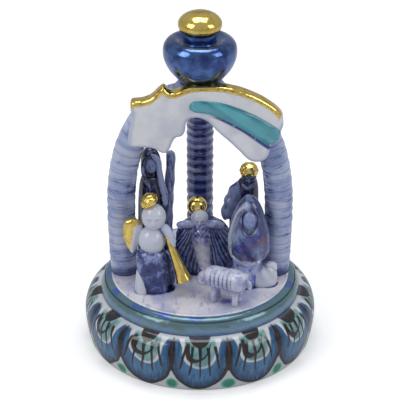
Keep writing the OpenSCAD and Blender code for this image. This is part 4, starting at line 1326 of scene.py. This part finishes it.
tooled(veil, at, lambda place, facing: -0.9 * bump(place[:, 0], 0, 2.0) * bump(place[:, 2], 22.6, 2.8)
       * np.clip(-facing[:, 1] * 2, 0, 1))
tooled(veil, at, lambda place, facing: 0.22 * np.sin((place[:, 0] * 0.9 + 0.35 * place[:, 2]) * 1.5)
       * np.clip((18.5 - place[:, 2]) / 5, 0, 1))
spots = vertices(veil) - standing(at)
hem_away = np.min([np.linalg.norm(spots - np.array(p), axis=1) for p in curved(hem_line, 8)], axis=0)
keep(veil, "hem", np.clip(1.35 - hem_away / 1.1, 0, 1))
keep_hollows(veil)
finish_piece(veil, "mary_veil", "blue_lustre", veil_paint())
figure("mary_face", "blue_white", soft_face, [egg(at, (0, -2.9, 22.6), (2.3, 1.6, 3.0))], voxel=0.15,
       at=at, cuts=[calm_face((0, -2.6, 22.6), (2.2, 3.0), 0.9)])


# ---- Lamb ----
# A white sausage on four stubs, the fleece scored upright with a tool on its flank, the head held
# low. Cobalt has gathered in the scores, darkened with painted shade, and painted shade lies between
# the legs.

LAMB_AT = (0.29 * DECK_R, -0.70 * DECK_R)
LAMB_TURN = radians(-24)


def turned_lamb(points):
    """Points given along the lamb, turned the way it stands."""
    c, s = cos(LAMB_TURN), sin(LAMB_TURN)
    return [(x * c - y * s, x * s + y * c, *rest) for x, y, *rest in points]


def fleece(place, facing):
    along = place[:, 0] * cos(LAMB_TURN) + place[:, 1] * sin(LAMB_TURN)
    flank = np.clip(1.15 - np.abs(facing[:, 2]) * 1.1, 0, 1)
    front = np.clip((3.4 - along) / 1.5, 0, 1) * np.clip((along + 6) / 1.5, 0, 1)
    return -0.42 * (0.5 + 0.5 * np.cos(along * 2 * pi / 1.35)) ** 1.5 * flank * front


def fleece_paint():
    paint = Paint("fleece_white", roughness=0.09, coat=0.7)
    where = paint.place()
    hollow = paint.stored("hollow")
    mottle = paint.noise(where, 0.4, 3.0)
    colour = paint.clouded(where, 0.4, "#C3C7D8", "#9A9EC6", 0.42, 0.62)
    # Blue in the scores and hollows and low on the legs: cobalt gathered there, with painted shade
    colour = paint.over(colour, "#7786B8", paint.spread(hollow + mottle * 0.2, 0.14, 0.38))
    colour = paint.over(colour, "#26326F", paint.spread(hollow + mottle * 0.2, 0.45, 0.8))
    paint.set("Base Color", colour)
    paint.ripple(where, 0.6, 0.12)
    return paint


fleece_white = fleece_paint()
at = LAMB_AT
figure("lamb_body", "white_glaze", fleece_white,
       [limb(at, turned_lamb([(-6.0, 0, 7.5, 2.6), (-4.6, 0, 7.8, 3.3), (-1, 0, 7.8, 3.4),
                              (3, 0, 7.9, 3.45), (5.2, 0, 7.7, 3.3), (6.4, 0, 7.5, 2.6)]), 5)], voxel=0.18,
       rounds=2, at=at, cuts=[fleece], how="scored")
figure("lamb_head", "white_glaze", fleece_white,
       [limb(at, turned_lamb([(-5.2, 0, 7.8, 2.1), (-6.7, 0, 7.0, 2.35), (-7.9, 0, 5.6, 1.9),
                              (-8.6, 0, 4.4, 1.2)])),
        limb(at, turned_lamb([(-6.2, -1.2, 8.0, 0.4), (-6.9, -2.1, 7.5, 0.65), (-7.2, -2.6, 6.4, 0.4)])),
        limb(at, turned_lamb([(-6.2, 1.2, 8.0, 0.4), (-6.9, 2.1, 7.5, 0.65), (-7.2, 2.6, 6.4, 0.4)]))],
       voxel=0.16, rounds=3)
leg_lumps = [limb(at, turned_lamb([(x, y, 5.6, 1.0), (x, y, 3.4, 1.0), (x, y * 1.1, 1.4, 0.95),
                                   (x, y * 1.1, -0.4, 1.1)])) for x in (-3.4, 3.4) for y in (-1.3, 1.3)]
figure("lamb_legs", "white_glaze", fleece_white, leg_lumps, voxel=0.18)
figure("lamb_tail", "white_glaze", fleece_white, [limb(at, turned_lamb([
    (6.0, 0, 8.6, 0.7), (7.0, 0, 8.0, 0.8), (7.5, 0, 6.8, 0.75), (7.3, 0, 5.8, 0.5)]))], voxel=0.16)


# ---- Tied bundle ----
# A soft white bag of clay, pinched at the neck and knotted, which stands beside the skirt.

BUNDLE_AT = (0.725 * DECK_R, -0.30 * DECK_R)
at = BUNDLE_AT
figure("bundle", "white_glaze", white_figures,
       [stack(at, [(-0.6, 0, -0.2, 4.3, 2.9), (-0.5, 0, 1.0, 4.5, 3.1), (-0.1, 0.1, 3.4, 4.0, 2.8),
                   (0.6, 0.2, 5.0, 3.2, 2.3), (1.3, 0.3, 6.0, 2.1, 1.7)])], at=at,
       cuts=[lambda place, facing: 0.2 * np.sin(5 * np.arctan2(place[:, 1], place[:, 0]) + place[:, 2])
             * np.clip(place[:, 2] / 5, 0, 1)])
figure("bundle_knot", "blue_white", white_figures, [
    egg(at, (1.9, 0.2, 6.2), (1.9, 1.6, 1.2)), egg(at, (2.8, -0.6, 5.6), (1.1, 1.1, 1.0), (0, -30, 0))],
       voxel=0.17)


# ---- Clapper ----
# Out of sight inside the bell: an unglazed lug on the underside of the deck, a ring of iron wire
# through it, and a wire rod that carries a fired clay bead between two stops.

def bisque_paint():
    paint = Paint("bisque_raw", roughness=0.75, coat=0.0)
    where = paint.place()
    grain = paint.noise(where, 2.5, 4.0, 0.7)
    cloud = paint.noise(where, 0.25, 2.0)
    paint.set("Base Color", paint.over("#DAD3C6", "#C2B8A6", paint.spread(grain + cloud, 0.8, 1.2)))
    paint.ripple(where, 2.5, 0.05, grain)
    return paint


def wire_paint():
    paint = Paint("iron_wire", roughness=0.35, coat=0.0)
    where = paint.place()
    drawn = paint.noise(where, 3.0, 3.0)
    paint.set("Base Color", paint.over("#8C8C90", "#5C5753", paint.spread(drawn, 0.4, 0.7)))
    paint.set("Metallic", 1.0)
    paint.set("Roughness", 0.28 + drawn * 0.25)
    return paint


bisque, wire = bisque_paint(), wire_paint()
for node, paint in (("clapper_lug", bisque), ("clapper_bead", bisque), ("clapper_ring", wire),
                    ("clapper_rod", wire), ("clapper_end", wire)):
    hung = bpy.data.objects[node]
    for slot in hung.material_slots:
        slot.material = paint.material


# ---- Studio ----
# A white table and wall in one sweep, a soft box on each side and one overhead, and a camera
# that looks a little down on the bell.

def studio_floor():
    paint = Paint("table_white", roughness=0.5, coat=0.0)
    where = paint.place()
    seen = paint.node("ShaderNodeLightPath", "Is Camera Ray", {})
    white = paint.over((0.93, 0.93, 0.94, 1), (0.90, 0.90, 0.915, 1), paint.noise(where, 0.01, 2.0))
    paint.set("Base Color", paint.over((0.52, 0.52, 0.55, 1), white, seen))
    paint.set("Emission Color", (1, 1, 1, 1))
    paint.set("Emission Strength", seen * 0.12 + 0.12)
    below = paint.node("ShaderNodeNewGeometry", "Backfacing", {})
    paint.set("Alpha", 1.0 - below)
    put_down()
    bpy.ops.mesh.primitive_grid_add(x_subdivisions=60, y_subdivisions=60, size=3.0)
    floor = bpy.context.object
    floor.name = floor.data.name = "table"
    for v in floor.data.vertices:
        back = v.co.y - 0.55
        v.co.z = 0.9 * back ** 2 if back > 0 else 0
    for face in floor.data.polygons:
        face.use_smooth = True
    floor.data.materials.append(paint.material)


def soft_box(name, place, aim, size, power, colour=(1, 1, 1)):
    light = bpy.data.lights.new(name, "AREA")
    light.shape = "RECTANGLE"
    light.size, light.size_y = size
    light.energy = power
    light.color = colour
    lamp = bpy.data.objects.new(name, light)
    bpy.context.scene.collection.objects.link(lamp)
    lamp.location = place
    lamp.rotation_euler = (Vector(aim) - Vector(place)).to_track_quat("-Z", "Y").to_euler()


studio_floor()
middle = (0, 0, 0.05)
soft_box("left_box", (-0.55, -0.35, 0.55), middle, (0.35, 0.45), 1.7, (1.0, 0.99, 0.97))
soft_box("right_box", (0.6, -0.3, 0.45), middle, (0.3, 0.4), 1.15, (0.98, 0.99, 1.0))
soft_box("top_box", (0.0, 0.1, 0.75), middle, (0.5, 0.4), 2.4)

world = bpy.data.worlds.new("white_room")
bpy.context.scene.world = world
world.use_nodes = True
world.node_tree.nodes["Background"].inputs["Color"].default_value = (0.97, 0.98, 1.0, 1)
world.node_tree.nodes["Background"].inputs["Strength"].default_value = 0.44
bpy.context.scene.view_settings.view_transform = "Standard"

# A long lens, 45 cm from the middle of the bell and looking down on it
DISTANCE, DOWN, LENS = 0.45, radians(27.5), 133.2
camera = bpy.data.objects.new("camera", bpy.data.cameras.new("camera"))
bpy.context.scene.collection.objects.link(camera)
camera.location = (0, -DISTANCE * cos(DOWN), 0.046 + DISTANCE * sin(DOWN))
camera.rotation_euler = (pi / 2 - DOWN, 0, 0)
camera.data.lens = LENS
camera.data.sensor_width = 36
camera.data.clip_start = 0.01
bpy.context.scene.camera = camera
